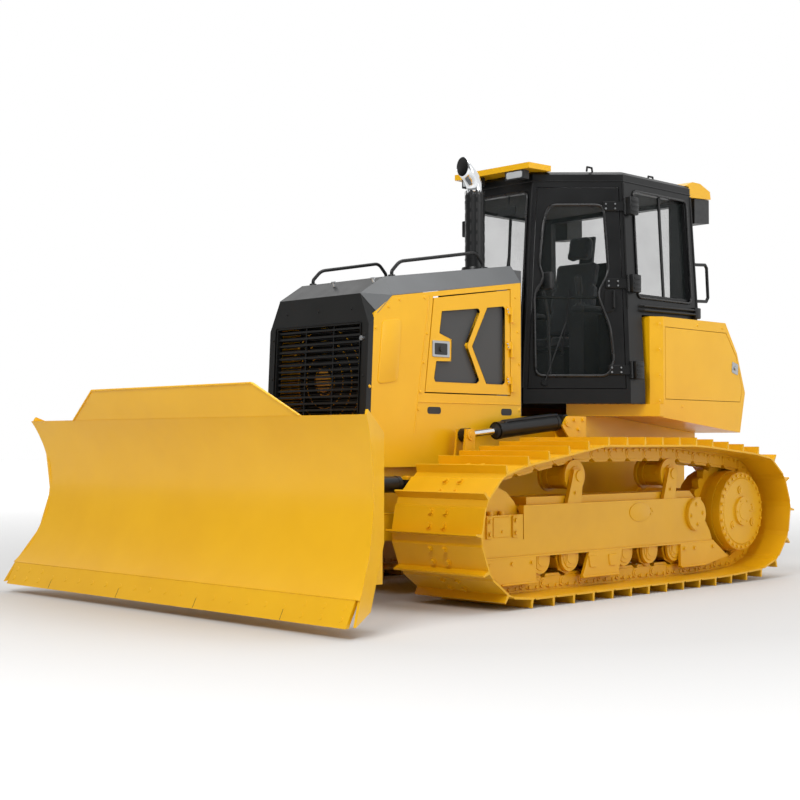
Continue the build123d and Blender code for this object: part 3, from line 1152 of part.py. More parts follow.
FACE = [(EDGE_TOP_Y, EDGE_TOP_Z), (MOLD_Y, MOLD_Z), (MOLD_TOP_Y, MOLD_TOP_Z)]
FACE_Y, FACE_Z, FACE_R = arc_centre(*FACE)


def mold_y(z, depth=0.0):
    """Y of the moldboard at a height, a depth behind its face."""
    return FACE_Y + sqrt((FACE_R + depth) ** 2 - (z - FACE_Z) ** 2)


FACE_STEPS = 10          # flats that the curve of the blade is made of


def mold_edge(z0, z1, depth):
    """Points (y, z) along the moldboard between two heights, a depth behind its face."""
    rise = MOLD_TOP_Z - EDGE_TOP_Z
    flats = [EDGE_TOP_Z + rise * i / FACE_STEPS for i in range(FACE_STEPS + 1)]
    return [(mold_y(z, depth), z) for z in (z0, *(z for z in flats if z0 < z < z1), z1)]


def end_x(y):
    """Half width of the blade at y, between its flared ends."""
    return BLADE_X - (y - EDGE_Y) * END_FLARE


BACK_Y = -1998.0         # rear face of the blade's beams
RIB_X = (160.0, 560.0, 1050.0)
END_T = 18.0
END_DEPTH = 150.0

with BuildPart() as end_plate:
    y0, y1 = EDGE_Y + 12, mold_y(MOLD_Z) + END_DEPTH
    prism_z([(end_x(y0), y0), (end_x(y1), y1), (end_x(y1) - END_T, y1), (end_x(y0) - END_T, y0)],
            EDGE_Z + 10, GUARD_Z)
    prism_x([(EDGE_Y + 12, EDGE_Z + 10), (EDGE_TOP_Y + 150, EDGE_Z + 60), (mold_y(MOLD_Z) + END_DEPTH, 440),
             (mold_y(MOLD_Z) + END_DEPTH, 1000), (MOLD_TOP_Y + 20, MOLD_TOP_Z + 25), (mold_y(MOLD_TOP_Z - 10) + 2, MOLD_TOP_Z),
             (mold_y(900) + 2, 900), (mold_y(MOLD_Z) + 2, MOLD_Z), (mold_y(400) + 2, 400),
             (EDGE_TOP_Y + 6, EDGE_TOP_Z)], 0, 2 * BLADE_X, mode=Mode.INTERSECT)

with BuildPart() as moldboard:
    with BuildSketch(Plane.YZ.offset(-BLADE_X)) as section:
        with BuildLine():
            Polyline(*mold_edge(EDGE_TOP_Z, MOLD_TOP_Z, 0), *reversed(mold_edge(EDGE_TOP_Z, MOLD_TOP_Z, MOLD_T)),
                     close=True)
        make_face()
    extrude(section.sketch, amount=2 * BLADE_X)
    for side in (-1, 1):
        corner = EDGE_Y + 800
        prism_z([(side * end_x(EDGE_Y), EDGE_Y), (side * (BLADE_X + 50), EDGE_Y), (side * (BLADE_X + 50), corner),
                 (side * end_x(corner), corner)], 0, GUARD_Z, mode=Mode.SUBTRACT)
    # raised guard along the middle of the top edge
    rise = hypot(GUARD_Z - MOLD_TOP_Z, GUARD_Y - MOLD_TOP_Y)
    with BuildSketch(Plane(origin=(0, MOLD_TOP_Y, MOLD_TOP_Z), x_dir=(1, 0, 0),
                           z_dir=(0, MOLD_TOP_Z - GUARD_Z, GUARD_Y - MOLD_TOP_Y))) as guard:
        with BuildLine():
            Polyline((-GUARD_LOW_X, -6), (GUARD_LOW_X, -6), (GUARD_TOP_X, rise), (-GUARD_TOP_X, rise), close=True)
        make_face()
    extrude(guard.sketch, amount=-MOLD_T)
    # back beams and ribs
    for low, high, reach in ((230, 400, 1440), (560, 620, 1440), (1000, 1075, 1380)):
        inner = MOLD_T - 5
        x_end = min(reach, end_x(BACK_Y) - 10)
        prism_x([(mold_y(low, inner), low), (mold_y(high, inner), high), (BACK_Y, high), (BACK_Y, low)], -x_end, x_end)
    for x in RIB_X:
        for side in (-1, 1):
            with BuildSketch(Plane.YZ.offset(side * x - 8)) as rib:
                with BuildLine():
                    Polyline(*mold_edge(240, 1070, 8), (BACK_Y, 1070), (BACK_Y, 240), close=True)
                make_face()
            extrude(rib.sketch, amount=16)
    # centre bracket with the tilt bearing
    box(-160, 160, BACK_Y - 60, BACK_Y, 300, 600)
    disc_y(0, BALL_Z, TILT_PIN_R + PIN_GAP, -2100, BACK_Y + 5, mode=Mode.SUBTRACT, sides=TRUE_ROUND)
    # lugs of the tilt cylinder
    for y in (TILT_Y + 68 - EYE_HALF - LUG_GAP - LUG_T, TILT_Y + 68 + EYE_HALF + LUG_GAP):
        box(TILT_EYE_X - 50, TILT_EYE_X + 50, y, y + LUG_T, TILT_Z - 60, TILT_Z + 90)
    box(TILT_EYE_X - 50, TILT_EYE_X + 50, BACK_Y - 10, TILT_Y + 68 + EYE_HALF + LUG_GAP + LUG_T, TILT_Z + 72,
        TILT_Z + 90)
    for side in (-1, 1):
        add(end_plate.part if side > 0 else mirror(end_plate.part, about=Plane.YZ, mode=Mode.PRIVATE))
save(moldboard.part, "moldboard")

with BuildPart() as cutting_edge:
    edge_x = end_x(EDGE_TOP_Y + 20) - END_T - SEAT_GAP
    prism_x([(EDGE_Y, EDGE_Z), (EDGE_Y + 22, EDGE_Z), (EDGE_TOP_Y + 20, EDGE_TOP_Z - SEAT_GAP),
             (EDGE_TOP_Y - 2, EDGE_TOP_Z - SEAT_GAP)], -edge_x, edge_x)
save(cutting_edge.part, "cutting_edge")
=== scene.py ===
"""Looks of the crawler bulldozer: finishes, small parts and the studio.

Shapes are drawn in millimetres in the machine's own frame (front towards -Y, left side +X)
and brought to metres when a piece is finished.
"""

from math import asin, atan2, cos, hypot, pi, radians, sin, sqrt

import bmesh
import bpy
from mathutils import Matrix, Vector


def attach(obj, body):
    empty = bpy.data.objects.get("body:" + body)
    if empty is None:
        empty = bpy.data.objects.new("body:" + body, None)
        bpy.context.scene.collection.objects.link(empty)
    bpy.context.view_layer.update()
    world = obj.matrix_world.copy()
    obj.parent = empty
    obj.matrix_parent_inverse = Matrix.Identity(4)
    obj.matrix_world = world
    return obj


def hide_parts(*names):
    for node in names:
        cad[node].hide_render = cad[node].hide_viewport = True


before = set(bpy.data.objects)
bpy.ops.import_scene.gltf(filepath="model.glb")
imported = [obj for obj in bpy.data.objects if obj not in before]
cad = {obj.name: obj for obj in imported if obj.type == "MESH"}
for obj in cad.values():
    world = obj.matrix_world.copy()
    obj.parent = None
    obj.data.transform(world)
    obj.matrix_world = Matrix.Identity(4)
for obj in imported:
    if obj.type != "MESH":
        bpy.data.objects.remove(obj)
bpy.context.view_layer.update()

MM = 0.001


# ================================================================ finishes
def linear(code):
    """An sRGB hex colour as linear RGBA."""
    out = []
    for i in (0, 2, 4):
        c = int(code[i:i + 2], 16) / 255
        out.append(c / 12.92 if c <= 0.04045 else ((c + 0.055) / 1.055) ** 2.4)
    return (*out, 1.0)


def add(tree, kind, settings=None, links=None):
    """Add a node, set its properties and sockets, and link its inputs."""
    made = tree.nodes.new(kind)
    for key, value in (settings or {}).items():
        if isinstance(key, str) and hasattr(made, key):
            setattr(made, key, value)
        else:
            made.inputs[key].default_value = value
    for key, source in (links or {}).items():
        tree.links.new(source, made.inputs[key])
    return made


def new_material(name):
    """An empty node material with its shader; returns material, tree and shader."""
    mat = bpy.data.materials.new(name)
    mat.use_nodes = True
    tree = mat.node_tree
    tree.nodes.clear()
    shader = add(tree, "ShaderNodeBsdfPrincipled")
    add(tree, "ShaderNodeOutputMaterial", links={"Surface": shader.outputs["BSDF"]})
    return mat, tree, shader


def place(tree):
    """Object coordinates in metres."""
    return add(tree, "ShaderNodeTexCoord").outputs["Object"]


def mottled(tree, at, size_mm, low, high, detail=3.0):
    """A number that wanders between low and high over patches of a size."""
    noise = add(tree, "ShaderNodeTexNoise", {"Scale": 1000 / size_mm, "Detail": detail, "Roughness": 0.6},
                {"Vector": at})
    spread = add(tree, "ShaderNodeMapRange",
                 {"From Min": 0.3, "From Max": 0.7, "To Min": low, "To Max": high},
                 {"Value": noise.outputs["Fac"]})
    return spread.outputs["Result"]


def grain(tree, shader, at, size_mm, strength, depth_mm, detail=2.0):
    """A fine relief on the surface."""
    noise = add(tree, "ShaderNodeTexNoise", {"Scale": 1000 / size_mm, "Detail": detail}, {"Vector": at})
    bump = add(tree, "ShaderNodeBump", {"Strength": strength, "Distance": depth_mm * MM},
               {"Height": noise.outputs["Fac"]})
    tree.links.new(bump.outputs["Normal"], shader.inputs["Normal"])


def enamel(name, dark, light, rough, peel_mm=5.0, relief=0.12, coat=0.08, shine=0.4):
    """Sprayed enamel: two close shades in broad patches, a faint orange peel and a clear gloss."""
    mat, tree, shader = new_material(name)
    at = place(tree)
    shade = add(tree, "ShaderNodeMix", {"data_type": "RGBA", 6: linear(dark), 7: linear(light)},
                {"Factor": mottled(tree, at, 420, 0.0, 1.0)})
    tree.links.new(shade.outputs[2], shader.inputs["Base Color"])
    tree.links.new(mottled(tree, at, 160, rough - 0.04, rough + 0.05), shader.inputs["Roughness"])
    shader.inputs["Specular IOR Level"].default_value = shine
    shader.inputs["Coat Weight"].default_value = coat
    shader.inputs["Coat Roughness"].default_value = 0.12
    grain(tree, shader, at, peel_mm, relief, 0.4)
    return mat


def plastic(name, colour, rough, grit_mm=1.6, relief=0.25):
    """Moulded plastic or rubber: one shade with dusty patches and a leathery grit."""
    mat, tree, shader = new_material(name)
    at = place(tree)
    shade = add(tree, "ShaderNodeMix", {"data_type": "RGBA", 6: linear(colour), 7: linear("4a4a4a")},
                {"Factor": mottled(tree, at, 60, 0.0, 0.14)})
    tree.links.new(shade.outputs[2], shader.inputs["Base Color"])
    tree.links.new(mottled(tree, at, 40, rough - 0.06, rough + 0.06), shader.inputs["Roughness"])
    grain(tree, shader, at, grit_mm, relief, 0.3)
    return mat


def metal(name, colour, rough, grit_mm=0.8, relief=0.05):
    """Bare metal: a faint variation of gloss from handling."""
    mat, tree, shader = new_material(name)
    at = place(tree)
    shader.inputs["Metallic"].default_value = 1.0
    shade = add(tree, "ShaderNodeMix", {"data_type": "RGBA", 6: linear(colour), 7: linear("6f7276")},
                {"Factor": mottled(tree, at, 90, 0.0, 0.12)})
    tree.links.new(shade.outputs[2], shader.inputs["Base Color"])
    tree.links.new(mottled(tree, at, 50, rough * 0.8, rough * 1.3), shader.inputs["Roughness"])
    grain(tree, shader, at, grit_mm, relief, 0.1)
    return mat


def glazing(name, tint, alpha):
    """Tinted safety glass: thin, clear, with a faint waviness that breaks the reflections."""
    mat, tree, shader = new_material(name)
    at = place(tree)
    shader.inputs["Base Color"].default_value = linear(tint)
    shader.inputs["Roughness"].default_value = 0.03
    shader.inputs["IOR"].default_value = 1.52
    tree.links.new(mottled(tree, at, 500, alpha - 0.03, alpha + 0.03), shader.inputs["Alpha"])
    grain(tree, shader, at, 400, 0.04, 1.0, detail=0.0)
    return mat


def woven(name, colour):
    """Seat cloth: warp and weft at 2.4 mm, drawn coarser than the real 0.8 mm so that it shows."""
    mat, tree, shader = new_material(name)
    at = place(tree)
    thread_mm = 2.4
    scale = 1000 / thread_mm / 6.28
    warp = add(tree, "ShaderNodeTexWave", {"Scale": scale, "bands_direction": "X"}, {"Vector": at})
    weft = add(tree, "ShaderNodeTexWave", {"Scale": scale, "bands_direction": "Z"}, {"Vector": at})
    cloth = add(tree, "ShaderNodeMath", {"operation": "MULTIPLY"},
                {0: warp.outputs["Fac"], 1: weft.outputs["Fac"]})
    shade = add(tree, "ShaderNodeMix", {"data_type": "RGBA", 6: linear(colour), 7: linear("4b4d52")},
                {"Factor": cloth.outputs["Value"]})
    tree.links.new(shade.outputs[2], shader.inputs["Base Color"])
    shader.inputs["Roughness"].default_value = 0.85
    shader.inputs["Sheen Weight"].default_value = 0.3
    bump = add(tree, "ShaderNodeBump", {"Strength": 0.4, "Distance": 0.4 * MM},
               {"Height": cloth.outputs["Value"]})
    tree.links.new(bump.outputs["Normal"], shader.inputs["Normal"])
    return mat


def perforated(name):
    """Punched black sheet: round holes 9 mm apart, drawn at 16 mm so that they show."""
    mat, tree, shader = new_material(name)
    at = place(tree)
    spacing_mm = 16
    dots = add(tree, "ShaderNodeTexVoronoi", {"Scale": 1000 / spacing_mm, "Randomness": 0.0,
                                              "voronoi_dimensions": "3D"}, {"Vector": at})
    hole = add(tree, "ShaderNodeMapRange", {"From Min": 0.30, "From Max": 0.40, "To Min": 0.0, "To Max": 1.0},
               {"Value": dots.outputs["Distance"]})
    shade = add(tree, "ShaderNodeMix", {"data_type": "RGBA", 6: linear("050505"), 7: linear("3c3d3e")},
                {"Factor": hole.outputs["Result"]})
    tree.links.new(shade.outputs[2], shader.inputs["Base Color"])
    shader.inputs["Roughness"].default_value = 0.5
    bump = add(tree, "ShaderNodeBump", {"Strength": 0.6, "Distance": 1.5 * MM},
               {"Height": hole.outputs["Result"]})
    tree.links.new(bump.outputs["Normal"], shader.inputs["Normal"])
    return mat


# Enamel gives broad soft lights: yellow on sheet steel, rougher yellow on the rolled and cast steel below,
# two greys on the hood, the paler one painted light for the top of the nose that faces the light from above,
# and two blacks on the nose and the cab. Chrome mirrors, zinc is dull, rubber and lining swallow light.
YELLOW = enamel("yellow_enamel", "e4ab05", "eab20a", 0.33)
YELLOW_CAST = enamel("yellow_enamel_on_rolled_steel", "d8a005", "e2aa0a", 0.40,
                     peel_mm=9.0, relief=0.35, coat=0.12)
GREY = enamel("grey_enamel", "565859", "5c5e60", 0.36)
# the hood's grey painted paler: painted light for the top of the nose, which faces the light from above
GREY_PAINTED_TOP_LIGHT = enamel("grey_enamel_painted_top_light", "828486", "888a8c", 0.36)
CHARCOAL = enamel("charcoal_enamel", "161717", "1b1c1c", 0.34, shine=0.28)
BLACK = enamel("black_enamel", "0f1011", "141516", 0.34, coat=0.05, shine=0.28)
ABS = plastic("black_abs", "1c1d1f", 0.5)
RUBBER = plastic("black_rubber", "131314", 0.72, grit_mm=2.4)
SEAL = plastic("moulded_rubber_seal", "131314", 0.3, grit_mm=4.0, relief=0.05)
CHROME = metal("chrome_plate", "e2e4e6", 0.07)
STEEL = metal("zinc_plated_steel", "b4b6b8", 0.32)
IRON = enamel("engine_paint", "3a3c3e", "4a4c4e", 0.5, relief=0.3, coat=0.0)
LINING = plastic("cab_lining", "3a3b3d", 0.8, grit_mm=3.0)
LENS = glazing("lamp_lens", "e8ecee", 0.55)
RED_LENS = glazing("tail_lamp_lens", "8c1210", 0.9)
GLASS = glazing("tinted_glass", "2a3130", 0.14)
CLOTH = woven("seat_cloth", "1d1e21")
MESH = perforated("punched_sheet")

FINISH = {
    YELLOW: ("hood_sides", "engine_door_left", "engine_door_right", "fenders", "fender_hatch_left",
             "fender_hatch_right", "tank", "moldboard", "cutting_edge", "visors", "hull"),
    YELLOW_CAST: ("track_left", "track_right", "rollers", "track_frame_left", "track_frame_right",
                  "final_drives", "push_frame", "yoke"),
    CHARCOAL: ("nose",),
    GREY: ("hood",),
    BLACK: ("cab_shell", "cab_door_left", "cab_door_right", "cab_roof", "grille", "radiator",
            "handrails", "exhaust", "drawbar", "lift_barrels", "angle_barrel_left", "angle_barrel_right",
            "tilt_barrel"),
    CHROME: ("lift_rods", "angle_rod_left", "angle_rod_right", "tilt_rod"),
    GLASS: ("cab_glass", "cab_door_glass_left", "cab_door_glass_right"),
    MESH: ("engine_door_mesh_left", "engine_door_mesh_right"),
    ABS: ("cab_fittings", "cab_lamps"),
    CLOTH: ("seat",),
    IRON: ("engine",),
}
# the material slot of the record that each finish belongs to
for mat, names in FINISH.items():
    for name in names:
        cad[name].data.materials.clear()
        cad[name].data.materials.append(mat)


# ================================================================ forms
def on_x(x):
    """Drawing plane across X: u runs along Y, v up, w along +X."""
    return Matrix(((0, 0, 1, x), (1, 0, 0, 0), (0, 1, 0, 0), (0, 0, 0, 1)))


def on_y(y):
    """Drawing plane across Y: u runs along -X, v up, w along +Y."""
    return Matrix(((-1, 0, 0, 0), (0, 0, 1, y), (0, 1, 0, 0), (0, 0, 0, 1)))


def on_z(z):
    """Drawing plane across Z: u runs along X, v along Y, w up."""
    return Matrix(((1, 0, 0, 0), (0, 1, 0, 0), (0, 0, 1, z), (0, 0, 0, 1)))


def through(a, b, c):
    """Drawing plane through a with u towards b and v on c's side; w stands out of it."""
    a, b, c = Vector(a), Vector(b), Vector(c)
    u = (b - a).normalized()
    w = u.cross(c - a).normalized()
    v = w.cross(u)
    m = Matrix((u, v, w)).transposed().to_4x4()
    m.translation = a
    return m


def rounded(points, r, steps=4):
    """An outline with its corners rounded by r, as (u, v)."""
    out = []
    for i, p in enumerate(points):
        p = Vector(p)
        back = Vector(points[i - 1]) - p
        ahead = Vector(points[(i + 1) % len(points)]) - p
        cut = min(r, back.length * 0.45, ahead.length * 0.45)
        a, b = p + back.normalized() * cut, p + ahead.normalized() * cut
        for k in range(steps + 1):
            t = k / steps
            out.append(tuple(a * (1 - t) ** 2 + p * 2 * t * (1 - t) + b * t * t))
    return out


def circle(u, v, r, n=24, squash=1.0):
    """Points of a circle, or of an ellipse squashed upwards."""
    return [(u + r * cos(2 * pi * i / n), v + r * squash * sin(2 * pi * i / n)) for i in range(n)]


def verts_of(geom):
    """The corners in what an operator has made."""
    return [g for g in geom if isinstance(g, bmesh.types.BMVert)]


def edges_of(geom):
    """The edges in what an operator has made."""
    return [g for g in geom if isinstance(g, bmesh.types.BMEdge)]


def draw(bm, plane, outline, w):
    """A face with the given outline, w off its plane."""
    return bm.faces.new([bm.verts.new(plane @ Vector((u, v, w))) for u, v in outline])


def grow(bm, plane, faces, w0, w1):
    """Extrude faces that lie w0 off a plane to w1; returns what the extrusion made."""
    grown = bmesh.ops.extrude_face_region(bm, geom=faces)["geom"]
    up = (plane @ Vector((0, 0, w1))) - (plane @ Vector((0, 0, w0)))
    bmesh.ops.translate(bm, verts=verts_of(grown), vec=up)
    return grown


def slab(bm, plane, outline, w0, w1, bevel=0.0, segments=1):
    """A plate with the given outline, from w0 to w1 off its plane, with its edges broken."""
    grown = grow(bm, plane, [draw(bm, plane, outline, w0)], w0, w1)
    if bevel:
        bmesh.ops.bevel(bm, geom=edges_of(grown), offset=bevel, segments=segments, profile=0.5,
                        affect="EDGES", material=-1)


def lip(bm, plane, outline, w0, w1):
    """A standing lip of thin sheet, w0 to w1 off its plane: a ring without width, with a wall to each side."""
    face = draw(bm, plane, outline, w0)
    ring = bmesh.ops.inset_individual(bm, faces=[face], thickness=0.0, use_even_offset=True)["faces"]
    bmesh.ops.delete(bm, geom=[face], context="FACES_ONLY")
    grow(bm, plane, ring, w0, w1)


def block(bm, x, y, z, bevel=0.0):
    """A box between pairs of limits, with its edges broken."""
    middle = Vector(((x[0] + x[1]) / 2, (y[0] + y[1]) / 2, (z[0] + z[1]) / 2))
    size = (abs(x[1] - x[0]), abs(y[1] - y[0]), abs(z[1] - z[0]), 1)
    made = bmesh.ops.create_cube(bm, size=1, matrix=Matrix.Translation(middle) @ Matrix.Diagonal(size))
    if bevel:
        edges = list({e for v in made["verts"] for e in v.link_edges})
        bmesh.ops.bevel(bm, geom=edges, offset=bevel, segments=2, profile=0.5, affect="EDGES", material=-1)


def rod(bm, a, b, r0, r1=None, sides=24):
    """A round or tapering bar from a to b."""
    a, b = Vector(a), Vector(b)
    turn = (b - a).to_track_quat("Z", "Y").to_matrix().to_4x4()
    bmesh.ops.create_cone(bm, cap_ends=True, segments=sides, radius1=r0, radius2=r0 if r1 is None else r1,
                          depth=(b - a).length, matrix=Matrix.Translation((a + b) / 2) @ turn)


def ball(bm, at, r, sides=12):
    """A ball, used at the bends of tubes."""
    bmesh.ops.create_uvsphere(bm, u_segments=sides, v_segments=sides // 2, radius=r,
                              matrix=Matrix.Translation(Vector(at)))


def tube(bm, path, r, sides=14):
    """A bent tube along points."""
    for a, b in zip(path, path[1:]):
        rod(bm, a, b, r, sides=sides)
    for at in path[1:-1]:
        ball(bm, at, r * 1.01, sides)


def bolt(bm, at, way, r=11.0, h=7.0):
    """A hexagon bolt on its washer, standing along way."""
    at, way = Vector(at), Vector(way).normalized()
    rod(bm, at - way * 1.0, at + way * 2.5, r * 1.45, sides=16)
    rod(bm, at + way * 2.0, at + way * (h + 2.5), r, r * 0.94, sides=6)


def stud(bm, at, way, r=9.0, h=4.0):
    """A domed rivet or bolt head."""
    at, way = Vector(at), Vector(way).normalized()
    rod(bm, at - way * 1.0, at + way * h, r, r * 0.72, sides=14)


def both_sides(bm):
    """Repeat everything drawn so far on the other side of the machine."""
    geom = bm.verts[:] + bm.edges[:] + bm.faces[:]
    bmesh.ops.mirror(bm, geom=geom, matrix=Matrix.Identity(4), merge_dist=0.0001, axis="X")


def to_side(bm, sign):
    """Turn what is drawn for the left side over to the right one where sign is -1."""
    if sign < 0:
        bmesh.ops.scale(bm, vec=(-1, 1, 1), verts=bm.verts)


def piece(name, bm, mat, body="chassis", smooth=True, sharp=32):
    """Finish a shape: metres, outward faces, soft shading, finish and body."""
    bmesh.ops.scale(bm, vec=(MM, MM, MM), verts=bm.verts)
    bmesh.ops.recalc_face_normals(bm, faces=bm.faces)
    mesh = bpy.data.meshes.new(name)
    bm.to_mesh(mesh)
    bm.free()
    obj = bpy.data.objects.new(name, mesh)
    bpy.context.collection.objects.link(obj)
    mesh.materials.append(mat)
    if smooth:
        mesh.polygons.foreach_set("use_smooth", [True] * len(mesh.polygons))
        mesh.set_sharp_from_angle(angle=radians(sharp))
    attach(obj, body)
    return obj


LEFT = (1, 0, 0)
FRONT = (0, -1, 0)
UP = (0, 0, 1)
SIDES = (("left", 1), ("right", -1))

# ================================================================ undercarriage
TRACK_X = 1005.0
FRAME_X = 1155.0          # outer face of the track frame
RAIL_OUT = 94.0           # outer face of a link rail, from the middle of the track
IDLER = (-797.0, 431.0)
SPROCKET = (1711.0, 471.0)
PIVOT = (1203.0, 465.0)
ROLLERS_Y = [-403.0 + 278.0 * i for i in range(7)]
ROLLER_Z = 246.0
CARRIERS_Y = (-40.0, 970.0)
CARRIER_Z = 743.0
PIN_LINE = [              # wheels of the track as (y, z, radius of the pin line)
    (*IDLER, 326.0), (ROLLERS_Y[-1], ROLLER_Z, 141.0), (*SPROCKET, 343.0),
    (CARRIERS_Y[1], CARRIER_Z, 135.0), (CARRIERS_Y[0], CARRIER_Z, 135.0),
]
PITCH = 190.0             # of the track shoes
PHASE = 0.62              # where the first pin lies, in pitches


def belt(wheels):
    """Arcs and straight runs of a belt round (y, z, r) wheels, each ending with its length."""
    parts = []
    normals = []
    for here, after in zip(wheels, wheels[1:] + wheels[:1]):
        dy, dz = after[0] - here[0], after[1] - here[1]
        span = hypot(dy, dz)
        lean = (here[2] - after[2]) / span
        side = sqrt(1 - lean * lean)
        normals.append(((dy * lean + dz * side) / span, (dz * lean - dy * side) / span))
    for i, (y, z, r) in enumerate(wheels):
        a0 = atan2(normals[i - 1][1], normals[i - 1][0])
        turn = (atan2(normals[i][1], normals[i][0]) - a0) % (2 * pi)
        parts.append(("arc", y, z, r, a0, turn, r * turn))
        y2, z2, r2 = wheels[(i + 1) % len(wheels)]
        ny, nz = normals[i]
        a, b = (y + r * ny, z + r * nz), (y2 + r2 * ny, z2 + r2 * nz)
        parts.append(("run", *a, *b, 0, hypot(b[0] - a[0], b[1] - a[1])))
    return parts


def along(parts, s):
    """The point at arc length s of a belt."""
    s = s % sum(part[-1] for part in parts)
    for kind, a, b, c, d, turn, length in parts:
        if s <= length:
            break
        s -= length
    share = s / length if length else 0
    if kind == "arc":
        return (a + c * cos(d + turn * share), b + c * sin(d + turn * share))
    return (a + (c - a) * share, b + (d - b) * share)


PIN_PATH = belt(PIN_LINE)
LENGTH = sum(part[-1] for part in PIN_PATH)
SHOES = round(LENGTH / PITCH)
PINS = [along(PIN_PATH, (i + PHASE) * LENGTH / SHOES) for i in range(SHOES)]


def shoe_frames():
    """Middle of each shoe on the pin line, its direction and its outward direction, as (y, z)."""
    for a, b in zip(PINS, PINS[1:] + PINS[:1]):
        span = hypot(b[0] - a[0], b[1] - a[1])
        t = Vector((0, (b[0] - a[0]) / span, (b[1] - a[1]) / span))
        yield Vector((0, (a[0] + b[0]) / 2, (a[1] + b[1]) / 2)), t, Vector((0, t.z, -t.y))


SHOE_FACE = 57.0          # top of a shoe's plate above the pin line
bm = bmesh.new()
for middle, t, out in shoe_frames():
    # (across the shoe, along the track) of its four bolts
    for x, u in ((-58, -52), (-58, 28), (58, -52), (58, 28)):
        at = middle + t * u + out * SHOE_FACE + Vector((TRACK_X + x, 0, 0))
        bolt(bm, at, out, 18, 13)
both_sides(bm)
piece("shoe_bolts", bm, YELLOW_CAST)

bm = bmesh.new()
for middle, t, out in shoe_frames():
    for side in (-1, 1):
        # pin boss, its pin end, and the nuts of the shoe bolts on the outer face of each link
        face = TRACK_X + side * RAIL_OUT
        way = Vector((side, 0, 0))
        pin = Vector((face, 0, 0)) + middle - t * PITCH / 2
        rod(bm, pin - way * 4, pin + way * 9, 34, 31, sides=20)
        rod(bm, pin + way * 8, pin + way * 13, 19, 17, sides=16)
        strap = Matrix((t, out, way)).transposed().to_4x4()
        strap.translation = Vector((face, 0, 0)) + middle
        slab(bm, strap, rounded([(-84, -34), (84, -34), (70, 20), (44, 34), (-44, 34), (-70, 20)], 16, 2),
             0, 6, 2)
        for u in (-34, 34):
            rod(bm, strap @ Vector((u, 22, 4)), strap @ Vector((u, 22, 12)), 12, 11, sides=6)
both_sides(bm)
piece("link_details", bm, YELLOW_CAST)

bm = bmesh.new()
x = FRAME_X - 14
for y in ROLLERS_Y:
    # ring, cap and saddle bolts at the outer end of each track roller
    rod(bm, (x - 16, y, ROLLER_Z), (x, y, ROLLER_Z), 88, 84, sides=32)
    rod(bm, (x, y, ROLLER_Z), (x + 5, y, ROLLER_Z), 66, 62, sides=32)
    rod(bm, (x + 4, y, ROLLER_Z), (x + 11, y, ROLLER_Z), 40, 36, sides=24)
    for dy in (-62, 62):
        bolt(bm, (x - 6, y + dy, 262), (0, 0, -1), 12, 9)
        block(bm, (x - 22, x + 2), (y + dy - 22, y + dy + 22), (256, 272), 3)
x = TRACK_X + 108
for y in CARRIERS_Y:
    # flanges, treads, cap and clamp bolt of each carrier roller
    for x0, x1, r in ((x - 219, x - 200, 100), (x - 196, x - 160, 84), (x - 56, x - 20, 84),
                      (x - 17, x + 2, 100)):
        rod(bm, (x0, y, CARRIER_Z), (x1, y, CARRIER_Z), r, r, sides=36)
    rod(bm, (x, y, CARRIER_Z), (x + 10, y, CARRIER_Z), 62, 56, sides=28)
    rod(bm, (x + 34, y, CARRIER_Z), (x + 42, y, CARRIER_Z), 36, 32, sides=20)
    bolt(bm, (x + 33, y - 36, 640), LEFT, 10, 7)
both_sides(bm)
piece("roller_ends", bm, YELLOW_CAST)

bm = bmesh.new()
face = on_x(FRAME_X)
# oval cover and its studs
slab(bm, face, circle(578, 500, 112, 40, 0.55), 0, 5, 3, 2)
for u, v in ((700, 520), (716, 502), (700, 484)):
    stud(bm, (FRAME_X, u, v), LEFT, 6, 4)
# idler block: clamping bars with two bolts each, cover plate and the nuts on top
for y in (-889, -661):
    slab(bm, face, rounded([(y - 24, 392), (y + 24, 392), (y + 24, 522), (y - 24, 522)], 10), 0, 12, 3)
    for v in (420, 494):
        bolt(bm, (FRAME_X + 11, y, v), LEFT, 13, 9)
slab(bm, face, rounded([(-850, 398), (-700, 398), (-700, 516), (-850, 516)], 12), 0, 6, 3)
stud(bm, (FRAME_X + 5, -775, 430), LEFT, 10, 8)
for y in (-830, -730):
    rod(bm, (FRAME_X - 40, y, 524), (FRAME_X - 40, y, 548), 20, 17, sides=18)
for u in (-560, -420, -280, 60, 420):
    stud(bm, (FRAME_X + 11, u, 277), LEFT, 1.5, 1)
# pivot cap with its four bolts
for i in range(4):
    a = pi / 2 * i + 0.12
    at = (FRAME_X + 22, PIVOT[0] + 68 * cos(a), PIVOT[1] + 68 * sin(a))
    rod(bm, (at[0] - 1, at[1], at[2]), (at[0] + 3, at[1], at[2]), 17, 16, sides=20)
    bolt(bm, (at[0] + 2, at[1], at[2]), LEFT, 10, 5)
rod(bm, (FRAME_X, *PIVOT), (FRAME_X + 16, *PIVOT), 112, 110, sides=48)
rod(bm, (FRAME_X + 15, *PIVOT), (FRAME_X + 23, *PIVOT), 103, 98, sides=48)
# roller guards: a rolled lip along the foot of each, raised pads and bolts
for y0, y1 in ((-795, -480), (-40, 330), (1017, 1300)):
    block(bm, (FRAME_X - 6, FRAME_X + 26), (y0, y1), (116, 128), 3)
for y0, y1 in ((20, 110), (220, 310)):
    slab(bm, on_x(FRAME_X + 14), rounded([(y0, 250), (y1, 250), (y1 - 14, 176), (y0 + 14, 176)], 12), 0, 8, 3)
for y, z in ((-900, 240), (-700, 240), (-520, 240), (1060, 240), (1180, 240), (1400, 240)):
    bolt(bm, (FRAME_X + 14, y, z), LEFT, 12, 8)
# dome of the recoil spring's housing behind the block
rod(bm, (FRAME_X - 120, -640, 500), (FRAME_X - 120, -500, 500), 70, 78, sides=28)
both_sides(bm)
piece("frame_details", bm, YELLOW_CAST)

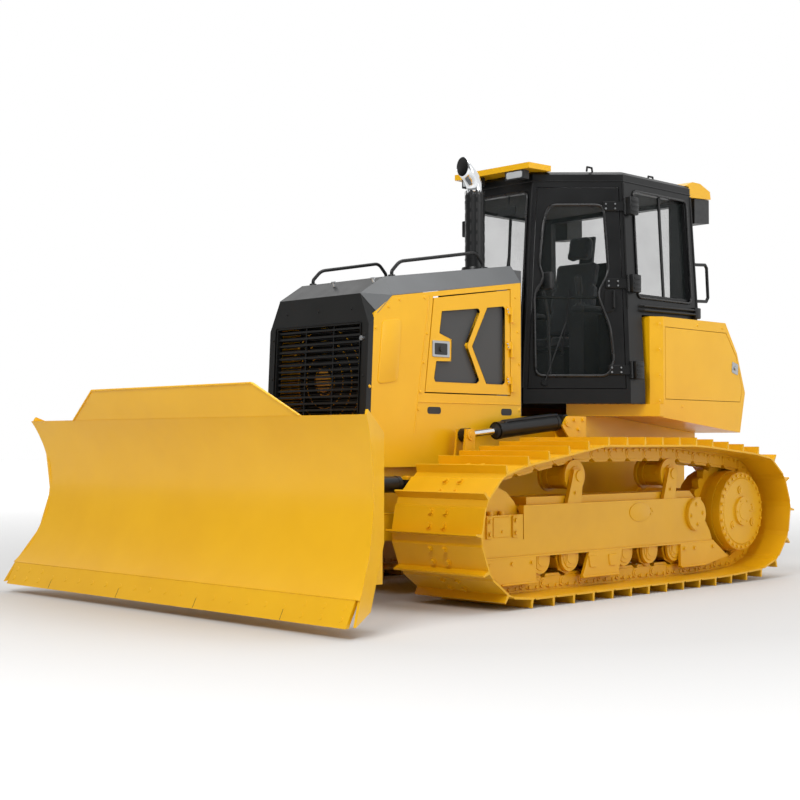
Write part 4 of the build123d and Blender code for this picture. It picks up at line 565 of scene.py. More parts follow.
HUB_X = 1200.0            # face of the final drive
HUB_BOLTS = 28
bm = bmesh.new()
y, z = SPROCKET
rod(bm, (HUB_X - 58, y, z), (HUB_X - 4, y, z), 274, 272, sides=72)
rod(bm, (HUB_X - 5, y, z), (HUB_X + 2, y, z), 271, 262, sides=72)
rod(bm, (HUB_X + 1, y, z), (HUB_X + 8, y, z), 236, 226, sides=72)
rod(bm, (HUB_X - 116, y, z), (HUB_X - 60, y, z), 282, 281, sides=72)
for i in range(HUB_BOLTS):
    a = 2 * pi * i / HUB_BOLTS
    bolt(bm, (HUB_X + 1, y + 250 * cos(a), z + 250 * sin(a)), LEFT, 11, 8)
rod(bm, (HUB_X + 7, y, z), (HUB_X + 24, y, z), 102, 97, sides=48)
rod(bm, (HUB_X + 23, y, z), (HUB_X + 27, y, z), 60, 57, sides=32)
for i in range(6):
    a = pi / 3 * i
    stud(bm, (HUB_X + 23, y + 80 * cos(a), z + 80 * sin(a)), LEFT, 9, 6)
# (angle, distance from the middle) of the plugs
for turn, r in ((100, 150), (218, 150), (-32, 150), (8, 128)):
    a = radians(turn)
    at = Vector((HUB_X + 7, y + r * cos(a), z + r * sin(a)))
    rod(bm, at, at + Vector((9, 0, 0)), 30, 27, sides=24)
    rod(bm, at + Vector((8, 0, 0)), at + Vector((14, 0, 0)), 17, 15, sides=6)
both_sides(bm)
piece("hub_covers", bm, YELLOW_CAST)

# ================================================================ hood
HOOD_X = 460.0
HOOD_TOP_X = 374.0
NOSE_Y = -1203.0
HOOD_FRONT_Y = -981.0


def hood_z(y):
    """Height of the hood's flat top."""
    return 1965.0 + (y - HOOD_FRONT_Y) * 0.142


def nose_y(z):
    """Front face of the nose at a height."""
    return NOSE_Y + (z - 1142.0) * 33.0 / 708.0


side_face = on_x(HOOD_X)
bm = bmesh.new()
# embossed panel ahead of the engine door, and the rolled lips of the seams
slab(bm, side_face, rounded([(-1065, 1690), (-905, 1706), (-938, 1322), (-1108, 1300)], 34, 5), 0, 5, 4, 2)
tube(bm, [(HOOD_X + 1, -659, 1868), (HOOD_X + 1, -795, 1000)], 3.0, 6)
tube(bm, [(HOOD_X + 1, -764, 1200), (HOOD_X + 1, 205, 1200)], 3.0, 6)
both_sides(bm)
piece("side_panel_pressings", bm, YELLOW)

bm = bmesh.new()
SIDE_BOLTS = (            # (y, z) on the side panels
    (-919, 1824), (-1014, 1776), (-700, 1852), (-676, 1629), (-707, 1446), (-739, 1264), (-756, 1154),
    (-1171, 1285), (162, 1913), (184, 1685), (200, 1470), (198, 1164), (-1120, 1640), (-1150, 1100),
)
for y, z in SIDE_BOLTS:
    stud(bm, (HOOD_X, y, z), LEFT, 11, 6)
both_sides(bm)
piece("side_panel_bolts", bm, YELLOW)

bm = bmesh.new()
for y0, y1, z0, z1 in ((-677, -556, 1128, 1172), (15, 121, 1128, 1172)):
    slab(bm, side_face, rounded([(y0, z0), (y1, z0), (y1, z1), (y0, z1)], 20, 5), 0.2, 1.4)
both_sides(bm)
piece("skirt_slots", bm, ABS)

bm = bmesh.new()
# top sheet of the nose, lighter than the mask below it, with two pressed bumps and two lifting studs; its grey
# is painted paler than the hood's, as painted light on a top lit from above
plane = through((HOOD_TOP_X, -1170, 1850), (-HOOD_TOP_X, -1170, 1850), (HOOD_TOP_X, -981, 1965))
slab(bm, plane, rounded([(4, 4), (744, 4), (744, 214), (4, 214)], 12), 0.4, 3.0, 1.5)
piece("nose_top_sheet_painted_light", bm, GREY_PAINTED_TOP_LIGHT)

bm = bmesh.new()
# the bumps carry the same painted light of the lit top
for u in (190, 560):
    slab(bm, plane, rounded([(u - 90, 20), (u + 90, 20), (u + 70, 70), (u - 70, 70)], 24, 5), 2.8, 12, 7, 2)
piece("nose_top_bumps", bm, GREY_PAINTED_TOP_LIGHT)

bm = bmesh.new()
for x, y in ((-1, -1040), (362, -1046)):
    at = Vector((x, y, 1965 + (y + 981) * 0.61))
    rod(bm, at, at + Vector((0, -8, 22)), 9, 9, sides=14)
    rod(bm, at + Vector((-16, -8, 24)), at + Vector((16, -8, 24)), 7, 7, sides=12)
piece("nose_studs", bm, STEEL)

bm = bmesh.new()
# grey facets at the corners of the nose
for corner in (((374, -1170, 1850), (460, -1105, 1728), (460, -981, 1845)),
               ((374, -1170, 1850), (460, -981, 1845), (374, -981, 1965))):
    a, b, c = (Vector(p) for p in corner)
    n = (b - a).cross(c - a).normalized()
    n = n if n.x > 0 else -n
    sheet = bm.faces.new([bm.verts.new(p + n * 0.5) for p in (a, b, c)])
    grown = bmesh.ops.extrude_face_region(bm, geom=[sheet])["geom"]
    bmesh.ops.translate(bm, verts=verts_of(grown), vec=n * 1.6)
both_sides(bm)
piece("nose_corner_facets", bm, GREY, smooth=False)

bm = bmesh.new()
# bolts round the mask and the lip of the grille's opening
for x in (-300, 0, 300):
    stud(bm, (x, nose_y(1760), 1760), FRONT, 9, 5)
for z in (1100, 1350, 1600):
    for x in (-424, 424):
        stud(bm, (x, nose_y(z), z), FRONT, 9, 5)
lip(bm, through((-398, nose_y(988), 988), (398, nose_y(988), 988), (-398, nose_y(1677), 1677)),
    rounded([(0, 0), (796, 0), (796, 689), (0, 689)], 18), 0, 7)
piece("mask_trim", bm, CHARCOAL)

bm = bmesh.new()
rod(bm, (407, nose_y(1577) + 2, 1577), (407, nose_y(1577) - 10, 1577), 17, 15, sides=20)
rod(bm, (407, nose_y(1577) - 9, 1577), (407, nose_y(1577) - 14, 1577), 8, 8, sides=12)
piece("mask_lock", bm, STEEL)

bm = bmesh.new()
# fine louvres behind the slats
for i in range(33):
    z = 1008 + i * 20.0
    y = nose_y(z) + 34
    slab(bm, on_x(-382), [(y, z), (y + 14, z + 9), (y + 14, z + 11), (y, z + 2)], 0, 764)
piece("grille_louvres", bm, BLACK, smooth=False)

bm = bmesh.new()
# guard rings and boss of the fan
for r in (330, 250, 170, 90):
    ring = [(r * cos(2 * pi * i / 40), -1120, 1330 + r * sin(2 * pi * i / 40)) for i in range(41)]
    for a, b in zip(ring, ring[1:]):
        rod(bm, a, b, 4, sides=6)
rod(bm, (0, -1132, 1330), (0, -1100, 1330), 70, 62, sides=28)
piece("fan_guard", bm, YELLOW)

for side, sign in SIDES:
    door = "engine_door_" + side
    plane = on_x(HOOD_X * sign)
    bm = bmesh.new()
    for outline in ([(-606, 1330), (-222, 1330), (-197, 1350), (-314, 1570), (-190, 1797), (-206, 1815),
                     (-545, 1776), (-568, 1636), (-457, 1602), (-461, 1463), (-596, 1459), (-616, 1352)],
                    [(-129, 1330), (32, 1330), (52, 1345), (54, 1831), (39, 1845), (-118, 1826),
                     (-265, 1567)]):
        lip(bm, plane, rounded(outline, 22, 4), -20 * sign, 2 * sign)
    piece("mesh_frames_" + side, bm, BLACK, door)
    bm = bmesh.new()
    slab(bm, plane, rounded([(-634, 1485), (-477, 1485), (-477, 1588), (-634, 1588)], 10), 0, 5 * sign, 2)
    piece("engine_latch_plate_" + side, bm, STEEL, door)
    bm = bmesh.new()
    slab(bm, plane, rounded([(-616, 1500), (-500, 1500), (-500, 1573), (-616, 1573)], 8),
         4.5 * sign, 6 * sign, 1)
    rod(bm, (sign * 465, -558, 1536), (sign * 475, -558, 1536), 17, 16, sides=20)
    piece("engine_latch_" + side, bm, ABS, door)
    bm = bmesh.new()
    for z in (1334, 1564, 1794):
        for dy in (8, 22):
            stud(bm, (sign * (HOOD_X + 12), 82 - dy * 0.5, z + 14 + (dy - 8) * 1.4), (sign, 0, 0), 6, 3)
    piece("engine_hinge_bolts_" + side, bm, STEEL, door)

bm = bmesh.new()
# (x, front end, rear end) of the hand rails on the hood
for x, y0, y1 in ((340.0, -870.0, -30.0), (-340.0, -920.0, -260.0)):
    z0, z1 = hood_z(y0) + 3, hood_z(y1) + 3
    knees = [(y0, z0), (y0, z0 + 28), (y0 + 70, z0 + 95), (y1 - 70, z1 + 95), (y1, z1 + 28), (y1, z1)]
    soft = [knees[0], *rounded(knees, 34, 4)[5:-5], knees[-1]]
    tube(bm, [(x, y, z) for y, z in soft], 11.2, 16)
    for y, z in (knees[0], knees[-1]):
        rod(bm, (x, y, z - 3), (x, y, z + 5), 24, 22, sides=20)
rails = piece("hood_rails", bm, BLACK)
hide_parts("handrails")

# exhaust: slotted shield round the muffler and a chromed tail pipe bent to the front
STACK = (190.0, 60.0)
SHIELD_R = 66.0
SHIELD_TOP = 2612.0
foot = hood_z(STACK[1]) - 2
bm = bmesh.new()
rod(bm, (*STACK, foot), (*STACK, SHIELD_TOP), SHIELD_R, sides=40)
rod(bm, (*STACK, SHIELD_TOP - 1), (*STACK, SHIELD_TOP + 30), SHIELD_R, 46, sides=40)
rod(bm, (*STACK, foot - 4), (*STACK, foot + 14), 92, 88, sides=40)
for z in (foot + 60, 2560):
    rod(bm, (*STACK, z), (*STACK, z + 14), SHIELD_R + 2.5, sides=40)
piece("exhaust_shield", bm, BLACK)

bm = bmesh.new()
# ten columns of six slots round the shield
for k in range(10):
    a = 2 * pi * k / 10
    out = Vector((cos(a), sin(a), 0))
    wrap = Matrix((Vector((-sin(a), cos(a), 0)), Vector(UP), out)).transposed().to_4x4()
    wrap.translation = Vector((*STACK, 0)) + out * (SHIELD_R + 0.4)
    for row in range(6):
        z = foot + 110 + row * 74
        slab(bm, wrap, rounded([(-6, z), (6, z), (6, z + 52), (-6, z + 52)], 6, 3), -0.5, 0.6)
piece("exhaust_slots", bm, RUBBER)

bm = bmesh.new()
# tail pipe: a short straight foot, a bend of 55 degrees to the front, and a straight end cut upright
first = bmesh.ops.create_circle(bm, segments=40, radius=54, matrix=Matrix.Translation((*STACK, 2630)))
edges = list({e for v in first["verts"] for e in v.link_edges})
grown = bmesh.ops.extrude_edge_only(bm, edges=edges)["geom"]
bmesh.ops.translate(bm, verts=verts_of(grown), vec=(0, 0, 15))
turned = bmesh.ops.spin(bm, geom=edges_of(grown), cent=(STACK[0], STACK[1] - 120, 2645), axis=(1, 0, 0),
                        angle=radians(55), steps=12)["geom_last"]
grown = bmesh.ops.extrude_edge_only(bm, edges=edges_of(turned))["geom"]
bmesh.ops.translate(bm, verts=verts_of(grown), vec=(0, -147, 103))
bmesh.ops.remove_doubles(bm, verts=bm.verts, dist=0.01)
bmesh.ops.bisect_plane(bm, geom=bm.verts[:] + bm.edges[:] + bm.faces[:], plane_co=(0, -62, 0),
                       plane_no=(0, -1, 0), clear_outer=True)
pipe = piece("tail_pipe", bm, CHROME)
wall = pipe.modifiers.new("wall", "SOLIDIFY")
wall.thickness = 3.5 * MM
wall.offset = -1
wall.material_offset = 1
pipe.data.materials.append(RUBBER)
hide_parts("exhaust")

# ================================================================ cab
DOOR_FOOT = 1218.0
DOOR = through((272, 452, DOOR_FOOT), (342.711, 522.711, DOOR_FOOT), (268.276, 455.724, 1317.86))
HINGES = (230, 830, 1370)               # heights up the door
SILL, DOOR_HEAD, ROOF_FOOT = 1880.0, 2760.0, 2750.0
DOOR_REAR = (746.7, 707.8, 1544.1)      # rear edge of the door plane at its foot and head, and its height
PANE = [(90, 190), (590, 190), (630, 290), (610, 520), (520, 760), (600, 900), (570, 1380), (190, 1380),
        (150, 1250), (120, 960), (155, 870), (85, 760)]
SIDE_WALL = through((759, 1120, 1965), (759, 1760, 1965), (718, 1120, 2705))
SCREEN = through((-227, 478, 1560), (227, 478, 1560), (-227, 562, 2690))
BACK_WALL = through((560, 1838.5, 1950), (-560, 1838.5, 1950), (560, 1826.5, 2690))


def door_edge(v):
    """Rear edge of the door plane at a height up the door."""
    return DOOR_REAR[0] + (DOOR_REAR[1] - DOOR_REAR[0]) * v / DOOR_REAR[2]


def seal(bm, plane, outline, corner, w, r):
    """A round rubber seal of radius r along an outline, w off its plane."""
    loop = [plane @ Vector((u, v, w)) for u, v in rounded(outline, corner, 6)]
    tube(bm, loop + loop[:2], r, 10)


def window_seal(bm, plane, width, height):
    """The lip and the rubber seal round a rectangular window with corners of 46 mm."""
    wide, close = ([(-out, -out), (width + out, -out), (width + out, height + out), (-out, height + out)]
                   for out in (14, 6))
    lip(bm, plane, rounded(wide, 46, 6), -1, 6)
    seal(bm, plane, close, 46, 5, 8)


bm = bmesh.new()
window_seal(bm, SIDE_WALL, 640, 741)
both_sides(bm)
piece("side_window_seals", bm, SEAL)

bm = bmesh.new()
window_seal(bm, SCREEN, 454, 1133)
window_seal(bm, BACK_WALL, 1120, 740)
piece("screen_seals", bm, SEAL)

bm = bmesh.new()
# divider and slide rails of the side window, and the posts' rolled edges
slab(bm, SIDE_WALL, [(322, 0), (344, 0), (344, 741), (322, 741)], -26, -14)
slab(bm, SIDE_WALL, [(0, 8), (640, 8), (640, 24), (0, 24)], -26, -12)
tube(bm, [(272, 452, 1330), (272, 567, ROOF_FOOT)], 9, 10)
share = (SILL - DOOR_FOOT) / (DOOR_HEAD - DOOR_FOOT)
for x0, y0, x1, y1 in ((800, 980, 715, 1010), (800, 1850, 715, 1825)):
    tube(bm, [(x0 + (x1 - x0) * share, y0 + (y1 - y0) * share, SILL), (x1, y1, ROOF_FOOT)], 9, 10)
both_sides(bm)
piece("cab_posts", bm, BLACK)

for side, sign in SIDES:
    leaf = "cab_door_" + side
    bm = bmesh.new()
    lip(bm, DOOR, rounded(PANE, 40, 6), -3, 4)
    seal(bm, DOOR, PANE, 60, 4, 10)
    to_side(bm, sign)
    piece("door_seal_" + side, bm, SEAL, leaf)
    bm = bmesh.new()
    # hinge straps, handle plate with its lever, and the wiper
    for v in HINGES:
        u0, u1 = door_edge(v) - 150, door_edge(v) - 36
        slab(bm, DOOR, rounded([(u0, v - 34), (u1, v - 34), (u1, v + 34), (u0, v + 34)], 10), -1, 13, 4)
    slab(bm, DOOR, rounded([(560, 620), (640, 640), (640, 800), (570, 780)], 16), -1, 9, 3)
    tube(bm, [DOOR @ Vector((630, 660, 8)), DOOR @ Vector((630, 660, 40)), DOOR @ Vector((630, 770, 40)),
              DOOR @ Vector((630, 770, 8))], 8, 12)
    rod(bm, DOOR @ Vector((150, 140, -2)), DOOR @ Vector((150, 140, 22)), 20, 18)
    tube(bm, [DOOR @ Vector((150, 140, 16)), DOOR @ Vector((300, 560, 18))], 5, 8)
    tube(bm, [DOOR @ Vector((270, 330, 12)), DOOR @ Vector((330, 790, 12))], 6, 8)
    to_side(bm, sign)
    piece("door_hardware_" + side, bm, BLACK, leaf)
    bm = bmesh.new()
    for v in HINGES:
        for du, dv in ((-126, -16), (-126, 16), (-62, -16), (-62, 16)):
            stud(bm, DOOR @ Vector((door_edge(v) + du, v + dv, 13)), DOOR.to_3x3() @ Vector((0, 0, 1)), 8, 4)
    to_side(bm, sign)
    piece("door_hinge_bolts_" + side, bm, STEEL, leaf)
    bm = bmesh.new()
    # inside grab bar across the waist of the door
    tube(bm, [DOOR @ Vector((84, 745, -42)), DOOR @ Vector((84, 745, -75)), DOOR @ Vector((560, 745, -75)),
              DOOR @ Vector((560, 745, -42))], 10, 12)
    to_side(bm, sign)
    piece("door_bar_" + side, bm, BLACK, leaf)

bm = bmesh.new()
# hinge blocks on the corner posts, and the two pipes along the sill
for v, x in zip(HINGES, (782, 760, 741)):
    z = DOOR_FOOT + v
    block(bm, (x, x + 54), (992, 1086), (z - 62, z + 62), 8)
    for dz in (-34, 0, 34):
        block(bm, (x + 50, x + 58), (1000, 1078), (z + dz - 9, z + dz + 9), 3)
for z, x in ((1872, 790), (1902, 786)):
    tube(bm, [(x - 30, 1120, z), (x, 1150, z), (x, 1830, z + 8), (x - 40, 1870, z + 8)], 9, 12)
block(bm, (752, 800), (1770, 1838), (1850, 1930), 8)
both_sides(bm)
piece("cab_hinge_blocks", bm, BLACK)

bm = bmesh.new()
# windscreen wiper, and the wiper of the rear window
for plane, foot, tip, low, high in ((SCREEN, (227, -60), (300, 520), (276, 300), (330, 800)),
                                    (BACK_WALL, (560, 770), (420, 420), (470, 560), (330, 160))):
    rod(bm, plane @ Vector((*foot, -4)), plane @ Vector((*foot, 24)), 22, 19)
    tube(bm, [plane @ Vector((*foot, 18)), plane @ Vector((*tip, 18))], 5, 8)
    tube(bm, [plane @ Vector((*low, 12)), plane @ Vector((*high, 12))], 6, 8)
piece("wipers", bm, BLACK)

bm = bmesh.new()
# roof: pressed ribs, rim and lifting loops
for x in (-360, -120, 120, 360):
    slab(bm, on_z(2832), rounded([(x - 70, 800), (x + 70, 800), (x + 70, 1620), (x - 70, 1620)], 50, 5),
         -1, 8, 6, 2)
for x, y in ((548, 850), (640, 1442), (-548, 850), (-640, 1442)):
    tube(bm, [(x, y - 32, 2830), (x, y - 26, 2862), (x, y + 26, 2862), (x, y + 32, 2830)], 7, 10)
corners = [(-272, 567), (272, 567), (715, 1010), (715, 1825), (-715, 1825), (-715, 1010)]
tube(bm, [(*p, ROOF_FOOT + 16) for p in corners + corners[:1]], 5, 8)
piece("roof_details", bm, BLACK)

bm = bmesh.new()
for sign in (-1, 1):
    x = sorted((sign * 525, sign * 675))
    slab(bm, on_y(2115), rounded([(-x[0], 2600), (-x[1], 2600), (-x[1], 2740), (-x[0], 2740)], 24, 5),
         0, 5, 2)
    x = sorted((sign * 134, sign * 276))
    slab(bm, on_y(451), rounded([(-x[0], 2780), (-x[1], 2780), (-x[1], 2824), (-x[0], 2824)], 12), -4, 0)
piece("work_lamp_lenses", bm, LENS)

bm = bmesh.new()
plane = through((430, 2257, 1054), (330, 2257, 1054), (430, 2300, 1232))
slab(bm, plane, rounded([(0, 20), (100, 20), (100, 76), (0, 76)], 14), 0, 16, 4, 2)
both_sides(bm)
piece("tail_lamps", bm, RED_LENS)

bm = bmesh.new()
# rear grab rail beside the window and its brackets on the fender
rail = ((1845, 2264), (1930, 2264), (2040, 2272), (2062, 2250), (2078, 2030), (2055, 2000), (1845, 1990))
tube(bm, [(700, y, z) for y, z in rail], 12, 14)
for z in (2264, 1990):
    rod(bm, (700, 1838, z), (700, 1852, z), 26, 24, sides=20)
both_sides(bm)
piece("rear_rails", bm, BLACK)

# ---------------------------------------------------------------- inside the cab
FLOOR = 1316.0
bm = bmesh.new()
slab(bm, on_z(2722), [(-225, 625), (225, 625), (660, 1060), (660, 1770), (-660, 1770), (-660, 1060)],
     0, 32, 10, 2)
piece("headliner", bm, LINING)

bm = bmesh.new()
slab(bm, on_z(FLOOR), [(-225, 520), (225, 520), (400, 700), (400, 950), (-400, 950), (-400, 700)], 0, 8, 3)
for i in range(11):
    y = 560 + i * 34
    reach = min(390.0, 225 + max(0, y - 540) * 0.95)
    block(bm, (-reach + 20, reach - 20), (y, y + 12), (FLOOR + 7, FLOOR + 12))
piece("floor_mat", bm, RUBBER)

bm = bmesh.new()
# arm rests with a lever each, monitor on its stalk, mirror and pedals
y = 1010
for x in (-340, 340):
    block(bm, (x - 62, x + 62), (970, 1380), (FLOOR + 561, FLOOR + 610), 18)
    rod(bm, (x, y, FLOOR + 605), (x, y, FLOOR + 628), 42, 30)
    rod(bm, (x, y, FLOOR + 620), (x, y - 12, FLOOR + 700), 11, 10)
    rod(bm, (x, y - 12, FLOOR + 690), (x, y - 26, FLOOR + 800), 23, 27)
    ball(bm, (x, y - 26, FLOOR + 800), 27, 16)
block(bm, (235, 395), (610, 650), (2010, 2130), 12)
tube(bm, [(300, 640, 2020), (300, 700, 1840), (300, 720, FLOOR)], 12, 12)
block(bm, (-80, 80), (600, 618), (2560, 2620), 8)
tube(bm, [(0, 618, 2600), (0, 640, 2730)], 7, 8)
for x in (-90, 90):
    block(bm, (x - 45, x + 45), (640, 654), (FLOOR + 90, FLOOR + 190), 6)
    tube(bm, [(x, 654, FLOOR + 120), (x, 700, FLOOR)], 9, 8)
piece("cab_controls", bm, ABS)

bm = bmesh.new()
slab(bm, on_y(607), [(-246, 2022), (-384, 2022), (-384, 2118), (-246, 2118)], -1, 2)
piece("monitor_glass", bm, GLASS)

bm = bmesh.new()
# seat shell, its slides and belt buckles
block(bm, (-225, 225), (930, 1400), (FLOOR + 291, FLOOR + 322), 12)
slab(bm, on_x(-205), rounded([(1392, 1640), (1424, 1640), (1545, 2290), (1512, 2290)], 12), 0, 410, 6)
slab(bm, on_x(-60), rounded([(1500, 2290), (1530, 2290), (1562, 2500), (1532, 2500)], 8), 0, 120, 4)
for x in (-244, 244):
    block(bm, (x - 12, x + 12), (1180, 1240), (1640, 1760), 6)
piece("seat_shell", bm, ABS)


def cushion(name, parts, cap_mm):
    """A padded seat part: its blocks are merged, swollen like a filled cover and smoothed."""
    pad_bm = bmesh.new()
    for plane, outline, w0, w1 in parts:
        slab(pad_bm, plane, rounded(outline, 42, 6), w0, w1, 16, 4)
    obj = piece(name, pad_bm, CLOTH, sharp=180)
    settle_frames = 20
    voxels = obj.modifiers.new("voxels", "REMESH")
    voxels.mode = "VOXEL"
    voxels.voxel_size = 6 * MM
    bake(obj)
    start = [v.co.copy() for v in obj.data.vertices]
    swell = obj.modifiers.new("swell", "CLOTH")
    swell.settings.use_pressure = True
    swell.settings.uniform_pressure_force = 4
    swell.settings.quality = 4
    swell.settings.effector_weights.gravity = 0
    swell.point_cache.frame_start = 1
    swell.point_cache.frame_end = settle_frames
    for step in range(1, settle_frames + 1):
        bpy.context.scene.frame_set(step)
    bake(obj)
    bpy.context.scene.frame_set(1)
    for v, old in zip(obj.data.vertices, start):
        move = v.co - old
        if move.length > cap_mm * MM:
            v.co = old + move.normalized() * cap_mm * MM
    obj.data.polygons.foreach_set("use_smooth", [True] * len(obj.data.polygons))
    soft = obj.modifiers.new("soft", "SUBSURF")
    soft.levels = 1
    soft.render_levels = 1
    return obj


def bake(obj):
    """Apply every modifier of a piece to its mesh."""
    graph = bpy.context.evaluated_depsgraph_get()
    mesh = bpy.data.meshes.new_from_object(obj.evaluated_get(graph))
    mesh.name = obj.name
    obj.modifiers.clear()
    obj.data = mesh


back = through((0, 1338, 1735), (-100, 1338, 1735), (0, 1462, 2300))
# (x, front, height) of the channels of the seat, and (half width, foot, head) of those of its back
SEAT_CHANNELS = ((-160, 950, 62), (-36, 945, 52), (36, 945, 52), (160, 950, 62))
BACK_CHANNELS = ((200, 0, 190), (205, 184, 380), (190, 374, 560))
seat_pad = cushion("seat_pad", [(on_z(1642), [(x - 62, y), (x + 62, y), (x + 62, 1370), (x - 62, 1370)], 0, h)
                                for x, y, h in SEAT_CHANNELS], 9)
cushion("back_pad", [(back, [(-u, v0), (u, v0), (u, v1), (-u, v1)], -62, -8)
                     for u, v0, v1 in BACK_CHANNELS], 9)
cushion("head_pad", [(back, [(-105, 586), (105, 586), (95, 760), (-95, 760)], -66, -10)], 8)
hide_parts("seat")

# ================================================================ fenders and rear
bm = bmesh.new()
for y, z in ((1232, 1240), (1232, 1420), (1232, 1600), (1232, 1780), (1700, 1794), (2020, 1790),
             (1500, 1205)):
    stud(bm, (860, y, z), LEFT, 10, 5)
slab(bm, on_z(1830), rounded([(560, 1900), (680, 1900), (680, 2020), (560, 2020)], 58, 6), 0, 12, 5, 2)
both_sides(bm)
piece("fender_bolts", bm, YELLOW)
for side, sign in SIDES:
    bm = bmesh.new()
    slab(bm, on_x(860), rounded([(2140, 1470), (2220, 1450), (2230, 1530), (2150, 1550)], 10), 0, 4, 2)
    rod(bm, (863, 2185, 1500), (872, 2185, 1500), 16, 15, sides=20)
    to_side(bm, sign)
    piece("hatch_latch_" + side, bm, STEEL, "fender_hatch_" + side)
bm = bmesh.new()
# tread plate on the deck below each door
for i in range(9):
    y = 830 + i * 38
    x1 = min(845.0, 400 + (y - 760))
    if x1 > 480:
        block(bm, (450, x1), (y, y + 10), (1216, 1219.5))
both_sides(bm)
piece("step_treads", bm, BLACK, smooth=False)

bm = bmesh.new()
# filler cap on the tank's slope
slope = through((-200, 2216, 1612), (-300, 2216, 1612), (-200, 2062, 1830))
slab(bm, slope, circle(60, 120, 62, 32), 0, 26, 6, 2)
slab(bm, slope, circle(60, 120, 40, 32), 25, 34, 5, 2)
piece("filler_cap", bm, ABS)

# ================================================================ push frame and cylinders
# each cylinder's line from the pin of its barrel to the eye of its rod
LIFT = (Vector((560, 527, 1092)), Vector((560, -434, 997)))
ANGLE = (Vector((590, -985, 700)), Vector((520, -1895, 700)))
TILT_Y, TILT_Z = -1877, 930
ARM_FACE = 606


def sleeve(bm, line, a, b, r, ends=0.0):
    """A smooth round sleeve from a to b along a cylinder's line, with a ring at each end."""
    start, way = line[0], (line[1] - line[0]).normalized()
    rod(bm, start + way * a, start + way * b, r, sides=40)
    if ends:
        rod(bm, start + way * a, start + way * (a + 26), r + ends, sides=40)
        rod(bm, start + way * (b - 44), start + way * b, r + ends, sides=40)


bm = bmesh.new()
sleeve(bm, LIFT, 80, 678.5, 54.6, 2.5)
rod(bm, (531, *LIFT[0].yz), (589, *LIFT[0].yz), 47, sides=36)
both_sides(bm)
piece("lift_sleeves", bm, BLACK, "lift_barrels")

bm = bmesh.new()
sleeve(bm, LIFT, 678.6, 684, 44)
both_sides(bm)
piece("lift_glands", bm, RUBBER, "lift_barrels")

bm = bmesh.new()
# two hydraulic pipes along the barrel
for x in (LIFT[0].x - 24, LIFT[0].x + 24):
    tube(bm, [(x, 440, 1136), (x, 400, 1132), (x, -60, 1088), (x, -90, 1074)], 9, 10)
both_sides(bm)
piece("lift_pipes", bm, BLACK, "lift_barrels")

bm = bmesh.new()
sleeve(bm, LIFT, 690, 930, 22.9)
both_sides(bm)
piece("lift_rod_sleeves", bm, CHROME, "lift_rods")

bm = bmesh.new()
rod(bm, (531, *LIFT[1].yz), (589, *LIFT[1].yz), 43, sides=36)
both_sides(bm)
piece("lift_rod_eyes", bm, BLACK, "lift_rods")

bm = bmesh.new()
# pin heads of the horns and of the arm pivots, and weld beads along the arms
for x0, x1, r0, r1, sides in ((604, 612, 36, 34, 32), (611, 615, 19, 17, 24), (614, 617, 7, 7, 12)):
    rod(bm, (x0, *LIFT[1].yz), (x1, *LIFT[1].yz), r0, r1, sides=sides)
for y in (-1300, -1100, -700, 0):
    tube(bm, [(ARM_FACE, y, 531), (ARM_FACE, y + 150, 531)], 4, 6)
rod(bm, (604, 350, 450), (616, 350, 450), 58, 55, sides=36)
both_sides(bm)
piece("arm_details", bm, YELLOW_CAST, "push_frame")

bm = bmesh.new()
for x0, x1, r0, r1, sides in ((606, 615, 36, 34, 32), (614, 618, 18, 16, 24)):
    rod(bm, (x0, *LIFT[0].yz), (x1, *LIFT[0].yz), r0, r1, sides=sides)
for y, z in ((600, 1104), (640, 1040), (690, 1104), (660, 950)):
    bolt(bm, (ARM_FACE, y, z), LEFT, 12, 8)
both_sides(bm)
piece("lift_bracket_details", bm, YELLOW)
for side, sign in SIDES:
    line = tuple(Vector((p.x * sign, p.y, p.z)) for p in ANGLE)
    bm = bmesh.new()
    sleeve(bm, line, 70, 590.5, 48.6, 2.5)
    rod(bm, (line[0].x, line[0].y, 674), (line[0].x, line[0].y, 726), 43, sides=36)
    piece("angle_sleeve_" + side, bm, BLACK, "angle_barrel_" + side)
    bm = bmesh.new()
    sleeve(bm, line, 595, 880, 22.9)
    piece("angle_rod_sleeve_" + side, bm, CHROME, "angle_rod_" + side)
    bm = bmesh.new()
    rod(bm, (line[1].x, line[1].y, 674), (line[1].x, line[1].y, 726), 41, sides=36)
    piece("angle_rod_eye_" + side, bm, BLACK, "angle_rod_" + side)
bm = bmesh.new()
for x0, x1, r in ((-10, 360.5, 50.6), (-10, 30, 53), (320, 360, 53)):
    rod(bm, (x0, TILT_Y, TILT_Z), (x1, TILT_Y, TILT_Z), r, sides=40)
piece("tilt_sleeve", bm, BLACK, "tilt_barrel")

bm = bmesh.new()
rod(bm, (366, TILT_Y, TILT_Z), (600, TILT_Y, TILT_Z), 24.4, sides=36)
piece("tilt_rod_sleeve", bm, CHROME, "tilt_rod")

# ================================================================ blade
EDGE_X, EDGE_Y = 1660.0, -2405.0        # half width and place of the cutting edge
END_FLARE = 0.546                       # sideways flare of the blade's ends per length
EDGE = through((-1600, EDGE_Y, 54), (-1500, EDGE_Y, 54), (-1600, -2338, 186))
bm = bmesh.new()
# one row of plough bolts, and two at both ends
for i in range(22):
    u = 60 + i * 146.5
    for v in ((74,) if 2 < i < 19 else (44, 104)):
        slab(bm, EDGE, circle(u, v, 15, 18), -1, 2.5, 1.2)
piece("edge_bolts", bm, YELLOW, "blade")

bm = bmesh.new()
# joints between the segments of the edge
for x in (-1100, -370, 370, 1100):
    u0, u1 = 1600 + x - 1.5, 1600 + x + 1.5
    slab(bm, EDGE, [(u0, 3), (u1, 3), (u1, 145), (u0, 145)], -1, 0.6)
piece("edge_joints", bm, RUBBER, "blade", smooth=False)

bm = bmesh.new()
